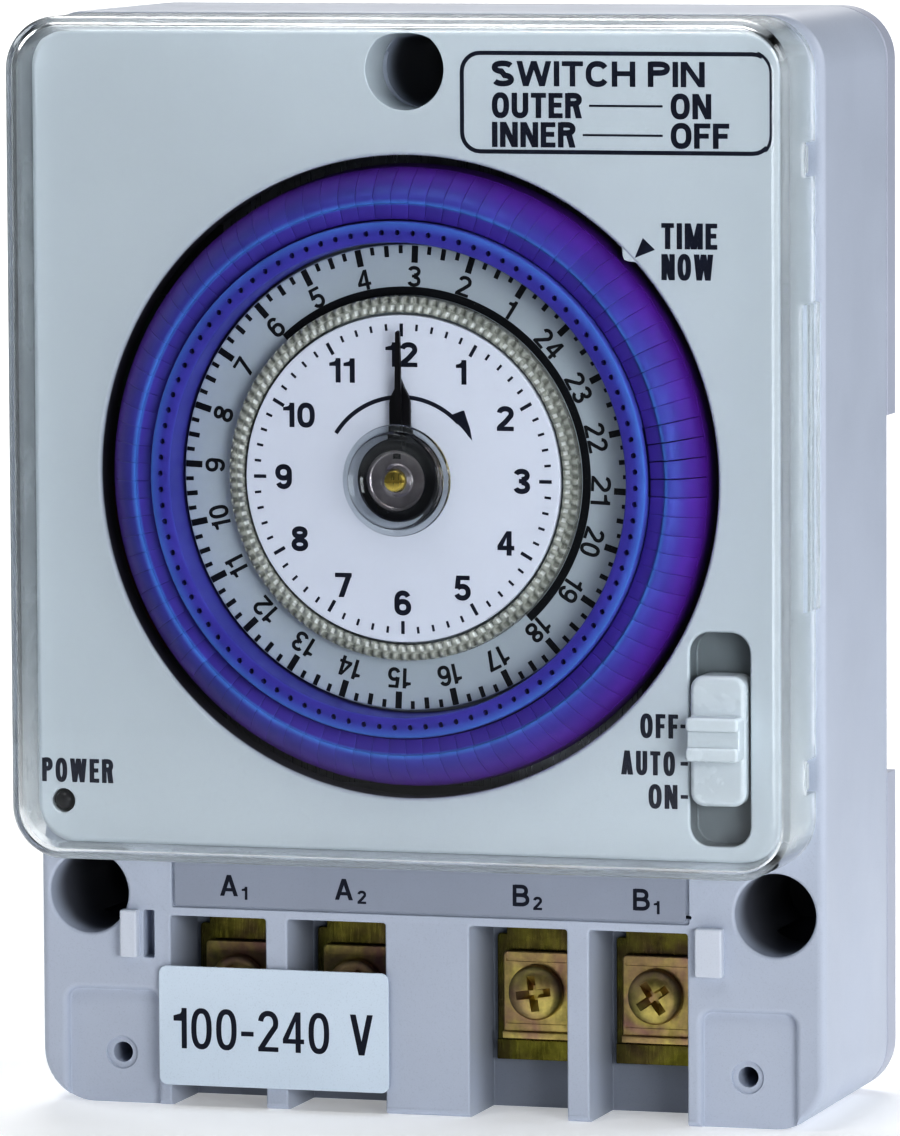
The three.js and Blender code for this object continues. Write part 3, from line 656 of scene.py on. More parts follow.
class Tree:
    """Short names for building a node material."""

    def __init__(self, name):
        self.m = bpy.data.materials.new(name)
        self.m.use_nodes = True
        self.t = self.m.node_tree
        self.t.nodes.clear()
        self.out = self.t.nodes.new("ShaderNodeOutputMaterial")
        self.b = self.t.nodes.new("ShaderNodeBsdfPrincipled")
        self.t.links.new(self.b.outputs[0], self.out.inputs[0])
        self.tc = self.t.nodes.new("ShaderNodeTexCoord")
        self.co = self.tc.outputs["Object"]

    def link(self, a, b):
        self.t.links.new(a, b)

    def noise(self, scale, detail=2.0, rough=0.5, co=None, distortion=0.0):
        n = self.t.nodes.new("ShaderNodeTexNoise")
        n.inputs["Scale"].default_value = scale
        n.inputs["Detail"].default_value = detail
        n.inputs["Roughness"].default_value = rough
        n.inputs["Distortion"].default_value = distortion
        self.link(co or self.co, n.inputs["Vector"])
        return n.outputs["Fac"]

    def voronoi(self, scale, co=None):
        n = self.t.nodes.new("ShaderNodeTexVoronoi")
        n.inputs["Scale"].default_value = scale
        self.link(co or self.co, n.inputs["Vector"])
        return n.outputs["Distance"]

    def ramp(self, fac, stops, mode="LINEAR"):
        n = self.t.nodes.new("ShaderNodeValToRGB")
        n.color_ramp.interpolation = mode
        e = n.color_ramp.elements
        while len(e) < len(stops):
            e.new(0.5)
        for i, (p, c) in enumerate(stops):
            e[i].position = p
            e[i].color = c if isinstance(c, tuple) else (c, c, c, 1.0)
        self.link(fac, n.inputs["Fac"])
        return n.outputs["Color"]

    def mix(self, fac, a, b, mode="MIX"):
        n = self.t.nodes.new("ShaderNodeMix")
        n.data_type = "RGBA"
        n.blend_type = mode
        for sock, v in ((n.inputs[0], fac), (n.inputs[6], a), (n.inputs[7], b)):
            if isinstance(v, (int, float)):
                sock.default_value = v
            elif isinstance(v, tuple):
                sock.default_value = v
            else:
                self.link(v, sock)
        return n.outputs[2]

    def math(self, op, a, b=0.0, clamp=False):
        n = self.t.nodes.new("ShaderNodeMath")
        n.operation = op
        n.use_clamp = clamp
        for sock, v in ((n.inputs[0], a), (n.inputs[1], b)):
            if isinstance(v, (int, float)):
                sock.default_value = v
            else:
                self.link(v, sock)
        return n.outputs[0]

    def maprange(self, v, a0, a1, b0, b1, smooth=False):
        n = self.t.nodes.new("ShaderNodeMapRange")
        if smooth:
            n.interpolation_type = "SMOOTHSTEP"
        for i, x in enumerate((a0, a1, b0, b1)):
            n.inputs[1 + i].default_value = x
        self.link(v, n.inputs[0])
        return n.outputs[0]

    def bump(self, height, strength=0.1, distance=0.0002, normal=None):
        n = self.t.nodes.new("ShaderNodeBump")
        n.inputs["Strength"].default_value = strength
        n.inputs["Distance"].default_value = distance
        self.link(height, n.inputs["Height"])
        if normal is not None:
            self.link(normal, n.inputs["Normal"])
        self.last_bump = n.outputs["Normal"]
        return n.outputs["Normal"]

    def pointiness(self):
        n = self.t.nodes.new("ShaderNodeNewGeometry")
        return n.outputs["Pointiness"]

    def island(self):
        n = self.t.nodes.new("ShaderNodeNewGeometry")
        return n.outputs["Random Per Island"]

    def axis(self):
        n = self.t.nodes.new("ShaderNodeSeparateXYZ")
        self.link(self.co, n.inputs[0])
        return n.outputs

    def set(self, **kw):
        for k, v in kw.items():
            s = self.b.inputs[k.replace("_", " ")]
            if hasattr(v, "links"):
                self.link(v, s)
            else:
                s.default_value = v


def plastic(
    name,
    rgb,
    rough=0.42,
    grain=2600.0,
    grain_depth=0.10,
    var=0.035,
    spec=0.5,
    wear=0.06,
    coat=0.0,
    tint=None,
    shade=None,
):
    """Moulded plastic: fine eroded texture, slow colour drift, handling marks in the gloss, paler rubbed edges."""
    t = Tree(name)
    base = lin(rgb)
    dark = tuple(v * (1 - var) for v in base[:3]) + (1.0,)
    light = tuple(min(v * (1 + var), 1) for v in base[:3]) + (1.0,)
    drift = t.ramp(t.noise(38.0, 3.0, 0.55), [(0.3, dark), (0.7, light)])
    specks = t.ramp(t.noise(5200.0, 1.0), [(0.28, 0.94), (0.42, 1.0)])
    col = t.mix(1.0, drift, specks, "MULTIPLY")
    if wear:
        edge = t.maprange(t.pointiness(), 0.505, 0.56, 0.0, wear, True)
        col = t.mix(
            edge, col, tuple(min(v * 1.35 + 0.03, 1.0) for v in base[:3]) + (1.0,)
        )
    # painted shade from the given function, where one is given
    if shade:
        col = shade(t, col)
    t.link(col, t.b.inputs["Base Color"])
    smudge = t.noise(95.0, 4.0, 0.6, distortion=0.4)
    r = t.maprange(smudge, 0.3, 0.75, rough - 0.05, rough + 0.07)
    t.link(r, t.b.inputs["Roughness"])
    t.b.inputs["Specular IOR Level"].default_value = spec
    t.b.inputs["IOR"].default_value = 1.5
    if coat:
        t.b.inputs["Coat Weight"].default_value = coat
        t.b.inputs["Coat Roughness"].default_value = 0.12
    n1 = t.bump(t.noise(grain, 2.0, 0.6), grain_depth, 0.00012)
    n2 = t.bump(t.noise(120.0, 2.0, 0.5), 0.05, 0.0008, n1)
    t.link(n2, t.b.inputs["Normal"])
    return t.m


def metal(
    name, rgb, rough=0.28, var=0.12, tint=None, scratch=0.12, aniso=0.0, scale=900.0
):
    """Worked metal: drawn scratches, tarnish in patches, uneven gloss."""
    t = Tree(name)
    base = lin(rgb)
    dark = tuple(v * (1 - var * 2) for v in base[:3]) + (1.0,)
    light = tuple(min(v * (1 + var), 1) for v in base[:3]) + (1.0,)
    col = t.ramp(t.noise(420.0, 4.0, 0.6), [(0.3, dark), (0.62, light)])
    if tint:
        col = t.mix(
            t.ramp(t.noise(190.0, 3.0, 0.5, distortion=0.8), [(0.36, 0.0), (0.7, 0.62)]),
            col,
            lin(tint),
        )
    t.link(col, t.b.inputs["Base Color"])
    t.b.inputs["Metallic"].default_value = 1.0
    mp = t.t.nodes.new("ShaderNodeMapping")
    mp.inputs["Scale"].default_value = (1.0, 1.0, 0.06)
    t.link(t.co, mp.inputs["Vector"])
    lines = t.noise(scale * 5, 2.0, 0.6, mp.outputs[0])
    t.link(
        t.maprange(lines, 0.3, 0.7, rough - 0.08, rough + 0.12),
        t.b.inputs["Roughness"],
    )
    t.link(t.bump(lines, scratch, 0.00005), t.b.inputs["Normal"])
    return t.m


def ink(name, rgb=(26, 30, 46)):
    """Screen-printed ink: a little unevenness in cover and gloss."""
    t = Tree(name)
    base = lin(rgb)
    light = tuple(v * 1.5 + 0.004 for v in base[:3]) + (1.0,)
    t.link(
        t.ramp(t.noise(1500.0, 3.0, 0.6), [(0.35, base), (0.8, light)]),
        t.b.inputs["Base Color"],
    )
    t.link(
        t.maprange(t.noise(2500.0, 2.0), 0.3, 0.7, 0.38, 0.55), t.b.inputs["Roughness"]
    )
    t.b.inputs["Specular IOR Level"].default_value = 0.4
    t.link(t.bump(t.noise(4000.0, 1.0), 0.08, 0.00004), t.b.inputs["Normal"])
    return t.m


def clear(name, tint=(247, 249, 250), rough=0.03, waves=0.04, through=0.93, walls=0.0, haze=0.0):
    """Clear moulded plastic that lets lamp light through; its side walls can be a little frosted."""
    t = Tree(name)
    t.b.inputs["Base Color"].default_value = lin(tint)
    t.b.inputs["Transmission Weight"].default_value = 1.0
    t.b.inputs["IOR"].default_value = 1.45
    smear = t.maprange(t.noise(60.0, 4.0, 0.6), 0.35, 0.8, rough, rough + 0.03)
    n1 = t.bump(t.noise(45.0, 1.0, 0.4), waves, 0.0006)
    t.link(n1, t.b.inputs["Normal"])
    body = t.b.outputs[0]
    if walls or haze:
        x, y, z = t.axis()
        zc = (OFF.z + (31.95 + 134.6) / 2) * 0.001
        side = t.maprange(t.math("ABSOLUTE", x), 0.0474, 0.0484, 0.0, 1.0, True)
        ends = t.maprange(
            t.math("ABSOLUTE", t.math("SUBTRACT", z, zc)), 0.0498, 0.0508, 0.0, 1.0, True
        )
        edge = t.math("MAXIMUM", side, ends)
        cloud = t.maprange(t.noise(130.0, 3.0, 0.6), 0.3, 0.75, 0.75, 1.1)
        edge = t.math("MULTIPLY", edge, cloud, True)
        smear = t.math("ADD", smear, t.math("MULTIPLY", edge, 0.22))
        df = t.t.nodes.new("ShaderNodeBsdfDiffuse")
        df.inputs["Color"].default_value = lin((214, 222, 226))
        t.link(n1, df.inputs["Normal"])
        tl = t.t.nodes.new("ShaderNodeBsdfTranslucent")
        tl.inputs["Color"].default_value = lin((220, 226, 230))
        both = t.t.nodes.new("ShaderNodeMixShader")
        both.inputs[0].default_value = 0.5
        t.link(df.outputs[0], both.inputs[1])
        t.link(tl.outputs[0], both.inputs[2])
        my = t.t.nodes.new("ShaderNodeMixShader")
        t.link(
            t.math("ADD", t.math("MULTIPLY", edge, walls), haze), my.inputs[0]
        )
        t.link(body, my.inputs[1])
        t.link(both.outputs[0], my.inputs[2])
        body = my.outputs[0]
    t.link(smear, t.b.inputs["Roughness"])
    lp = t.t.nodes.new("ShaderNodeLightPath")
    tr = t.t.nodes.new("ShaderNodeBsdfTransparent")
    tr.inputs[0].default_value = (through, through, through, 1)
    mx = t.t.nodes.new("ShaderNodeMixShader")
    t.link(lp.outputs["Is Shadow Ray"], mx.inputs[0])
    t.link(body, mx.inputs[1])
    t.link(tr.outputs[0], mx.inputs[2])
    t.link(mx.outputs[0], t.out.inputs[0])
    return t.m


def segment_plastic(name):
    """Violet dial plastic: the violet tint runs with the radius and varies from pin to pin; the light-blue bands along
    its ridges are painted highlights, and the bluer inner band is painted light shining through the thin plastic.
    """
    t = Tree(name)
    x, y, z = t.axis()
    zc = (DIAL_Z + OFF.z) * 0.001
    zz = t.math("SUBTRACT", z, zc)
    r = t.math(
        "SQRT", t.math("ADD", t.math("MULTIPLY", x, x), t.math("MULTIPLY", zz, zz))
    )
    f = t.maprange(r, 0.0284, 0.0380, 0.0, 1.0)

    def p(mm):
        return (mm - 28.4) / 9.6

    # Painted light on the violet dye: the light-blue peaks at r 31.0 and 33.35 mm are painted highlights on the ridges,
    # and the bluer inner stops stand in for light shining through the thin inner rim.
    col = t.ramp(
        f,
        [
            (p(28.5), lin((84, 84, 168))),
            (p(28.95), lin((84, 66, 166))),
            (p(29.9), lin((80, 70, 166))),
            (p(30.6), lin((88, 106, 190))),
            (p(31.0), lin((88, 122, 196))),
            (p(31.35), lin((88, 58, 158))),
            (p(33.0), lin((90, 64, 164))),
            (p(33.35), lin((92, 136, 208))),
            (p(33.9), lin((86, 78, 170))),
            (p(35.2), lin((84, 50, 150))),
            (p(36.2), lin((94, 40, 152))),
            (p(37.4), lin((94, 36, 144))),
        ],
    )
    each = t.maprange(t.island(), 0.0, 1.0, 0.93, 1.05)
    col = t.mix(1.0, col, t.mix(0.0, each, each), "MULTIPLY")
    cloud = t.ramp(
        t.noise(110.0, 3.0, 0.6), [(0.32, (0.82, 0.82, 0.86, 1)), (0.7, (1, 1, 1, 1))]
    )
    col = t.mix(1.0, col, cloud, "MULTIPLY")
    t.link(col, t.b.inputs["Base Color"])
    t.link(
        t.maprange(t.noise(300.0, 3.0), 0.3, 0.7, 0.4, 0.5), t.b.inputs["Roughness"]
    )
    t.b.inputs["Specular IOR Level"].default_value = 1.0
    t.b.inputs["Specular Tint"].default_value = (0.16, 0.6, 1.0, 1.0)
    t.b.inputs["IOR"].default_value = 1.5
    t.b.inputs["Coat Weight"].default_value = 0.0
    t.b.inputs["Coat Roughness"].default_value = 0.15
    n1 = t.bump(t.noise(900.0, 2.0), 0.06, 0.0001)
    t.link(n1, t.b.inputs["Normal"])
    return t.m


def face_shade(t, col):
    """Painted shade: darkens the dial opening and the slide slot from just below their lips, standing in for the shade
    inside them; a look, not a real colour of the part.
    """
    x, y, z = t.axis()
    zc = (DIAL_Z + OFF.z) * 0.001
    zz = t.math("SUBTRACT", z, zc)
    r = t.math("SQRT", t.math("ADD", t.math("MULTIPLY", x, x), t.math("MULTIPLY", zz, zz)))
    y0 = OFF.y * 0.001
    deep = t.maprange(y, y0 - 0.0073, y0 - 0.0067, 0.0, 1.0, True)
    front = t.maprange(y, y0 - 0.0034, y0 - 0.0030, 1.0, 0.0)
    ring = t.maprange(r, 0.0394, 0.0396, 1.0, 0.0)
    well = t.math("MULTIPLY", t.math("MULTIPLY", deep, front), ring)
    # painted shade on the inner wall of the dial opening
    col = t.mix(well, col, lin((72, 70, 82)))
    # painted shade on the floor and walls of the slide slot
    sx = t.maprange(t.math("ABSOLUTE", t.math("SUBTRACT", x, 0.03905)), 0.0040, 0.0042, 1.0, 0.0)
    zs = (48.3 + OFF.z) * 0.001
    sz = t.maprange(t.math("ABSOLUTE", t.math("SUBTRACT", z, zs)), 0.0132, 0.0134, 1.0, 0.0)
    slot = t.math("MULTIPLY", t.math("MULTIPLY", sx, sz), t.math("MULTIPLY", deep, front))
    return t.mix(slot, col, lin((130, 137, 141)))


POCKETS = [(-33.2, -20.9), (-18.1, -5.5), (5.2, 17.6), (20.4, 32.8)]
WELLS = [(-43.74, 26.2, 5.05), (43.74, 26.2, 5.05), (0.0, 128.2, 4.9)]


def case_shade(t, col):
    """Painted shade: darkens the plastic with depth in the screw wells and terminal pockets, standing in for the shade
    inside them; a look, not a real colour of the part.
    """
    x, y, z = t.axis()
    y0 = OFF.y * 0.001
    depth = t.maprange(y, y0 + 0.0008, y0 + 0.0065, 0.0, 0.8, True)
    # painted shade deepening into each screw well
    for cx, cz, rad in WELLS:
        dx = t.math("SUBTRACT", x, cx * 0.001)
        dz = t.math("SUBTRACT", z, (cz + OFF.z) * 0.001)
        r = t.math("SQRT", t.math("ADD", t.math("MULTIPLY", dx, dx), t.math("MULTIPLY", dz, dz)))
        inside = t.maprange(r, (rad + 0.1) * 0.001, (rad + 0.2) * 0.001, 1.0, 0.0, True)
        col = t.mix(t.math("MULTIPLY", inside, depth), col, lin((70, 70, 78)))
    depth = t.maprange(y, y0 + 0.001, y0 + 0.0095, 0.0, 0.5, True)
    low = t.maprange(z, (23.7 + OFF.z) * 0.001, (23.9 + OFF.z) * 0.001, 1.0, 0.0, True)
    depth = t.math("MULTIPLY", depth, low)
    # painted shade deepening into each terminal pocket
    for x0, x1 in POCKETS:
        mid, half = (x0 + x1) * 0.0005, (x1 - x0) * 0.0005
        away = t.math("ABSOLUTE", t.math("SUBTRACT", x, mid))
        inside = t.maprange(away, half + 0.0001, half + 0.0002, 1.0, 0.0, True)
        col = t.mix(t.math("MULTIPLY", inside, depth), col, lin((70, 74, 82)))
    return col


def knurl_plastic(name):
    """Clear knurled rim: milky all over, with painted glints as a row of bright beads in the inner dimples and painted
    shade in the grooves of the cross-cut band outside.
    """
    t = Tree(name)
    x, y, z = t.axis()
    zz = t.math("SUBTRACT", z, (DIAL_Z + OFF.z) * 0.001)
    r = t.math("SQRT", t.math("ADD", t.math("MULTIPLY", x, x), t.math("MULTIPLY", zz, zz)))
    turn = t.math("ARCTAN2", x, zz)
    beads = t.math("COSINE", t.math("MULTIPLY", turn, 112.0))
    inner = t.math(
        "MULTIPLY",
        t.maprange(r, 0.02028, 0.02045, 0.0, 1.0, True),
        t.maprange(r, 0.02088, 0.02105, 1.0, 0.0, True),
    )
    outer = t.math(
        "MULTIPLY",
        t.maprange(r, 0.02118, 0.02130, 0.0, 1.0, True),
        t.maprange(r, 0.02182, 0.02196, 1.0, 0.0, True),
    )
    milky = t.ramp(
        t.noise(140.0, 3.0, 0.5), [(0.3, lin((158, 161, 154))), (0.7, lin((182, 184, 176)))]
    )
    # painted glints: the inner band turns near white in its dimples
    col = t.mix(
        t.math("MULTIPLY", inner, t.maprange(beads, -0.1, 0.75, 0.0, 0.95, True)),
        milky,
        lin((236, 239, 236)),
    )
    # painted shade: the outer cross-cut band darkens in its grooves
    col = t.mix(
        t.math("MULTIPLY", outer, t.maprange(beads, -0.4, 0.8, 0.75, 0.0, True)),
        col,
        lin((122, 124, 116)),
    )
    rim = t.maprange(r, 0.02194, 0.02206, 0.0, 0.6, True)
    col = t.mix(rim, col, lin((112, 114, 108)))
    t.link(col, t.b.inputs["Base Color"])
    t.link(t.maprange(t.noise(400.0, 2.0), 0.3, 0.7, 0.2, 0.34), t.b.inputs["Roughness"])
    t.b.inputs["Specular IOR Level"].default_value = 0.7
    t.b.inputs["IOR"].default_value = 1.49
    t.b.inputs["Transmission Weight"].default_value = 0.18
    t.link(t.bump(t.noise(900.0, 2.0), 0.05, 0.0001), t.b.inputs["Normal"])
    return t.m


M = {}
M["case"] = plastic("case_plastic", (194, 201, 215), 0.44, shade=case_shade)
M["rear"] = plastic("rear_plastic", (186, 190, 204), 0.48)
M["face"] = plastic("face_plastic", (197, 205, 211), 0.36, grain_depth=0.06, var=0.02, shade=face_shade)
M["hook"] = plastic("hook_plastic", (214, 219, 230), 0.4)
M["violet"] = segment_plastic("segment_plastic")
M["dial"] = plastic(
    "day_dial_plastic", (180, 189, 196), 0.4, grain_depth=0.04, var=0.03, wear=0.0
)
M["clock"] = plastic(
    "clock_dial_plastic", (216, 220, 232), 0.38, grain_depth=0.03, var=0.015, wear=0.0
)
M["nylon"] = plastic("nylon", (222, 218, 205), 0.5)
M["black"] = plastic(
    "black_lacquer", (20, 18, 22), 0.3, grain_depth=0.05, wear=0.02, var=0.1
)
M["dark"] = plastic("dark_plastic", (34, 36, 40), 0.45)
M["white"] = plastic(
    "white_gloss", (204, 211, 216), 0.24, grain_depth=0.03, var=0.012, spec=0.6
)
M["clip"] = plastic("clip_plastic", (104, 108, 118), 0.5)
M["red"] = plastic("red_plastic", (172, 52, 40), 0.42)
# Painted shade: the header strip's colour is darkened to stand in for the shadow the cover's lower edge casts on it.
M["strip"] = plastic("strip_film", (162, 168, 182), 0.4, grain_depth=0.03, wear=0.0)
M["card"] = plastic(
    "card_white", (222, 234, 246), 0.34, grain=5000.0, grain_depth=0.03, wear=0.0
)
M["led"] = plastic("led_dark", (14, 13, 18), 0.3, grain_depth=0.02, wear=0.0)
M["pcb"] = plastic("board_green", (34, 92, 62), 0.4)
M["capred"] = plastic("capacitor_red", (150, 44, 36), 0.25)
M["battery"] = plastic("battery_sleeve", (54, 128, 84), 0.3)
M["ink"] = ink("print_ink")
M["ink_black"] = ink("print_black", (14, 16, 22))
M["brass"] = metal("brass", (232, 208, 118), 0.3)
M["steel"] = metal("steel", (168, 171, 178), 0.3)
M["motor"] = metal("motor_case", (150, 153, 158), 0.38)
M["zinc"] = metal("yellow_zinc", (214, 198, 126), 0.36, tint=(176, 112, 146), var=0.18)
M["olive"] = metal("terminal_brass", (122, 118, 56), 0.28, tint=(84, 58, 70), var=0.22)
M["hub"] = metal("hub_metal", (196, 184, 186), 0.36)
M["window"] = clear("window_plastic", rough=0.015, waves=0.03, walls=0.3, haze=0.0)
M["knob"] = clear("knob_plastic", (236, 240, 242), rough=0.03, waves=0.03, through=0.88)
M["grip"] = knurl_plastic("knurl_plastic")

SLOT_LOOK = {
    "case_grey": "case",
    "rear_grey": "rear",
    "face_grey": "face",
    "clear_plastic": "window",
    "violet_plastic": "violet",
    "dial_print": "dial",
    "clock_white": "clock",
    "clear_ring": "grip",
    "nylon": "nylon",
    "black_hand": "black",
    "knob_clear": "knob",
    "brass": "brass",
    "steel": "steel",
    "yellow_zinc": "zinc",
    "slider_white": "white",
    "dark_plastic": "dark",
    "clip_grey": "clip",
    "red_plastic": "red",
    "header_print": "strip",
    "label_white": "card",
    "led_dark": "led",
    "pcb": "pcb",
    "cap_red": "capred",
    "battery_green": "battery",
    "motor_metal": "motor",
}

# every carried-over CAD node takes the procedural look of its slot
slot_of = {e["node"]: e["material_slot"] for e in frame["record"]["subparts"]}
for name, node in NODES.items():
    look = None
    if name in slot_of:
        look = SLOT_LOOK.get(slot_of[name])
    if look is None:
        for m in node.data.materials:
            if m and m.name.split(".")[0] in SLOT_LOOK:
                look = SLOT_LOOK[m.name.split(".")[0]]
    look = look or "steel"
    if not node.data.materials:
        node.data.materials.append(M[look])
    for i in range(len(node.data.materials)):
        node.data.materials[i] = M[look]

# ------------------------------------------------------------------ camera
YAW, PITCH, ROLL = 0.295, 0.09477, -0.00527
cam_data = bpy.data.cameras.new("camera")
cam = bpy.data.objects.new("camera", cam_data)
scene.collection.objects.link(cam)
cam_data.sensor_fit = "AUTO"
cam_data.sensor_width = 36.0
cam_data.lens = 8757.634 * 36.0 / 1136.0
cam_data.clip_start = 0.01
cam_data.clip_end = 50.0
fwd = Vector(
    (
        -math.sin(YAW) * math.cos(PITCH),
        math.cos(YAW) * math.cos(PITCH),
        -math.sin(PITCH),
    )
)
right = Vector((math.cos(YAW), math.sin(YAW), 0.0))
up = right.cross(fwd)
r2 = right * math.cos(ROLL) + up * math.sin(ROLL)
u2 = -right * math.sin(ROLL) + up * math.cos(ROLL)
eye = TO_ROW @ (Vector((3.055, 0.0, 67.421)) - fwd * 1063.728)
rot = Matrix((r2, u2, -fwd)).transposed().to_4x4()
cam.matrix_world = Matrix.Translation(eye) @ rot
scene.camera = cam

# ------------------------------------------------------------------ case


def cut_rr(*a, **k):
    return make("cut", lofted(cutter_rings(*a, **k)))


def cut_hole(*a, **k):
    return make("cut", lofted(hole_rings(*a, **k)))


case = make(
    "case_shell",
    lofted(plate_rings(-50, 50, 0, 134.8, 6.5, 0, 30.8, 1.0, 0.35, n=12, k=5)),
)
steps = [
    ("-", cut_rr(-47.5, 47.5, 36.0, 132.3, 4, 2.5, 31.5, 0, 0, over=0)),
    ("-", cut_rr(-45, 45, 36.5, 130, 3, 0, 3.0, 0.3, 0)),
    ("-", cut_rr(-47.5, 47.5, 2.5, 132.3, 4, 28.5, 31.5, 0, 0, over=0)),
    ("-", cut_rr(-47.5, 47.5, 2.5, 22.5, 2, 14, 30, 0, 0, over=0)),
    ("-", cut_rr(-26, 26, 20, 40, 2, 16, 30, 0, 0, over=0)),
    (
        "+",
        make(
            "well_tube",
            lofted(
                [
                    (circle(0, 128.2, 6.3, 64), 1.2),
                    (circle(0, 128.2, 6.3, 64), 28.45),
                ]
            ),
        ),
    ),
]
for sx in (-1, 1):
    steps.append(
        (
            "+",
            make(
                "boss",
                lofted(
                    [
                        (circle(41.8 * sx, 119.5, 3.4, 40), 1.5),
                        (circle(41.8 * sx, 119.5, 3.4, 40), 28.4),
                    ]
                ),
            ),
        )
    )
trim = make(
    "trim",
    lofted(plate_rings(-50, 50, 0, 134.8, 6.5, 0, 30.8, 1.0, 0.35, n=12, k=5)),
)
steps.append(("*", trim))
for cx, cz, rad in WELLS:
    lip = 0.45 if cx else 0.15
    steps.append(("-", cut_hole(cx, cz, rad, 0, 26.4, lip, n=96)))
    steps.append(("-", cut_hole(cx, cz, 2.5, 26.4, 32.0, 0.4, n=48, over=0.01)))
for x0, x1 in POCKETS:
    xc = (x0 + x1) / 2
    steps.append(("-", cut_rr(x0, x1, -6, 23.6, 0.35, 0, 10.5, 0.3, 0.2, n=4)))
    steps.append(("-", cut_hole(xc, 14.6, 2.0, 10.4, 15, 0, n=32, over=0.5)))
    steps.append(
        (
            "-",
            make(
                "cut", lambda bm, xc=xc: add_box(bm, xc - 4.6, xc + 4.6, 9, 10.5, 22, 28, 0)
            ),
        )
    )
for x0, x1 in ((-47.0, -34.6), (34.2, 46.6)):
    steps.append(("-", cut_rr(x0 + 0.3, x1 - 0.3, -8, 14.2, 1.4, 0, 1.1, 0.75, 0.3, n=8)))
steps.append(("-", cut_rr(-33, 33, 24.7, 40, 0.3, 0, 0.5, 0.15, 0.1, n=3)))
for sx in (-1, 1):
    steps.append(("-", cut_hole(40.0 * sx, 6.2, 2.0, 1.1, 1.5, 0.15, n=40)))
    steps.append(("-", cut_hole(40.0 * sx, 6.2, 1.25, 1.5, 11, 0.1, n=40, over=0.5)))
steps.append(("-", cut_rr(-36.7, -35.3, 18.3, 24.2, 0.2, 0, 3.2, 0.12, 0, n=3)))
steps.append(("-", cut_rr(31.9, 33.3, 25.4, 25.8, 0.1, 0, 3.2, 0.05, 0, n=3)))
for sx in (-1, 1):
    steps.append(("-", cut_hole(41.8 * sx, 119.5, 1.45, 16, 32.0, 0.2, n=24, over=0.5)))
for z0, z1 in ((122, 127), (40, 45)):
    steps.append(
        (
            "+",
            make(
                "lug",
                lambda bm, z0=z0, z1=z1: add_box(
                    bm, -49.7, -47.9, -2.4, 1.2, z0, z1, 0.3, 3
                ),
            ),
        )
    )
for z0, z1 in ((121, 128), (39, 46)):
    steps.append(
        (
            "-",
            make(
                "bore",
                lambda bm, z0=z0, z1=z1: cylinder_along(
                    bm, (-48.8, -1.5, z0), (-48.8, -1.5, z1), 0.55, 24, 0.02
                ),
            ),
        )
    )
boolean(case, steps)
finish_piece(case, "case", M["case"], ["base_housing"])

# cover catches on the terminal block: two small upright hooks, paler than the case
hooks = make(
    "cover_hooks",
    lambda bm: add_box(bm, -39.4, -37.2, -1.3, 0.3, 18.4, 24.3, 0.28, 3),
    lambda bm: add_box(bm, 34.0, 37.4, -1.3, 0.3, 18.5, 24.5, 0.28, 3),
)
finish_piece(hooks, "case", M["hook"])

# ------------------------------------------------------------------ rear cover
rear = make(
    "rear_shell",
    lofted(plate_rings(-50, 50, 0, 134.8, 6.5, 31.15, 36, 0.3, 1.1, n=12, k=5)),
)


def channel(bm):
    pts = [(31.2, 40.2), (34.9, 40.2), (35.5, 40.0), (36.0, 39.3), (37.5, 39.3)]
    pts += [(37.5, 85.4), (36.0, 85.4), (35.5, 84.7), (34.9, 84.5), (31.2, 84.5)]
    add_prism_x(bm, pts, -52, 52)


steps = [
    (
        "+",
        make(
            "inset",
            lofted(plate_rings(-47.1, 47.1, 3, 131.8, 3, 28.8, 31.6, 0.3, 0.0, n=6)),
        ),
    ),
    ("-", make("cut", channel)),
    (
        "-",
        make("cut", lambda bm: add_box(bm, -8.4, 8.4, 31.2, 37, 3.2, 41.2, 0)),
    ),
    (
        "-",
        make("cut", lambda bm: add_box(bm, -30, 30, 31.2, 32.5, 83.5, 86.1, 0)),
    ),
]


for x0, x1 in ((-46, -12), (12, 46)):
    steps.append(("+", make("seat", lambda bm, x0=x0, x1=x1: add_box(bm, x0, x1, 30.6, 31.4, 46, 80, 0.1))))


def back_pocket(x0, x1, z0, z1, depth, r=1.2):
    """Shallow moulded recess in the rear face."""
    rings = []
    for pts, y in cutter_rings(x0, x1, z0, z1, r, 0, depth, 0.35, 0.3, n=6):
        rings.append((pts, 36.0 - y))
    return make("cut", lofted(rings))


def back_hole(cx, cz, r, depth, lip=0.2, n=40):
    rings = [(p, 36.0 - y) for p, y in hole_rings(cx, cz, r, 0, depth, lip, n)]
    return make("cut", lofted(rings))


for cx, cz in ((-43.74, 26.2), (43.74, 26.2), (0.0, 128.2)):
    steps.append(("-", back_hole(cx, cz, 2.5, 9.0, 0.35, 48)))
for cx in (-41.8, 41.8):
    steps.append(("-", back_hole(cx, 119.5, 2.9, 2.6, 0.3, 48)))
    steps.append(("-", back_hole(cx, 119.5, 1.5, 9.0, 0.0, 24)))
for x0, x1 in ((-36, -22), (-19, -9), (9, 19), (22, 36)):
    steps.append(("-", back_pocket(x0, x1, 91, 114, 1.2)))
for x0, x1 in ((-36, -24), (-22, -12), (12, 22), (24, 36)):
    steps.append(("-", back_pocket(x0, x1, 8, 33, 1.2)))
steps.append(("-", back_pocket(-6.5, 6.5, 91, 114, 0.5)))
for x0, x1 in ((-10, -7.4), (7.4, 10)):
    steps.append(
        (
            "+",
            make(
                "guide",
                lambda bm, x0=x0, x1=x1: add_box(bm, x0, x1, 34.4, 36, 6, 36, 0.2),
            ),
        )
    )
boolean(rear, steps)
finish_piece(rear, "case", M["rear"], ["rear_cover"])

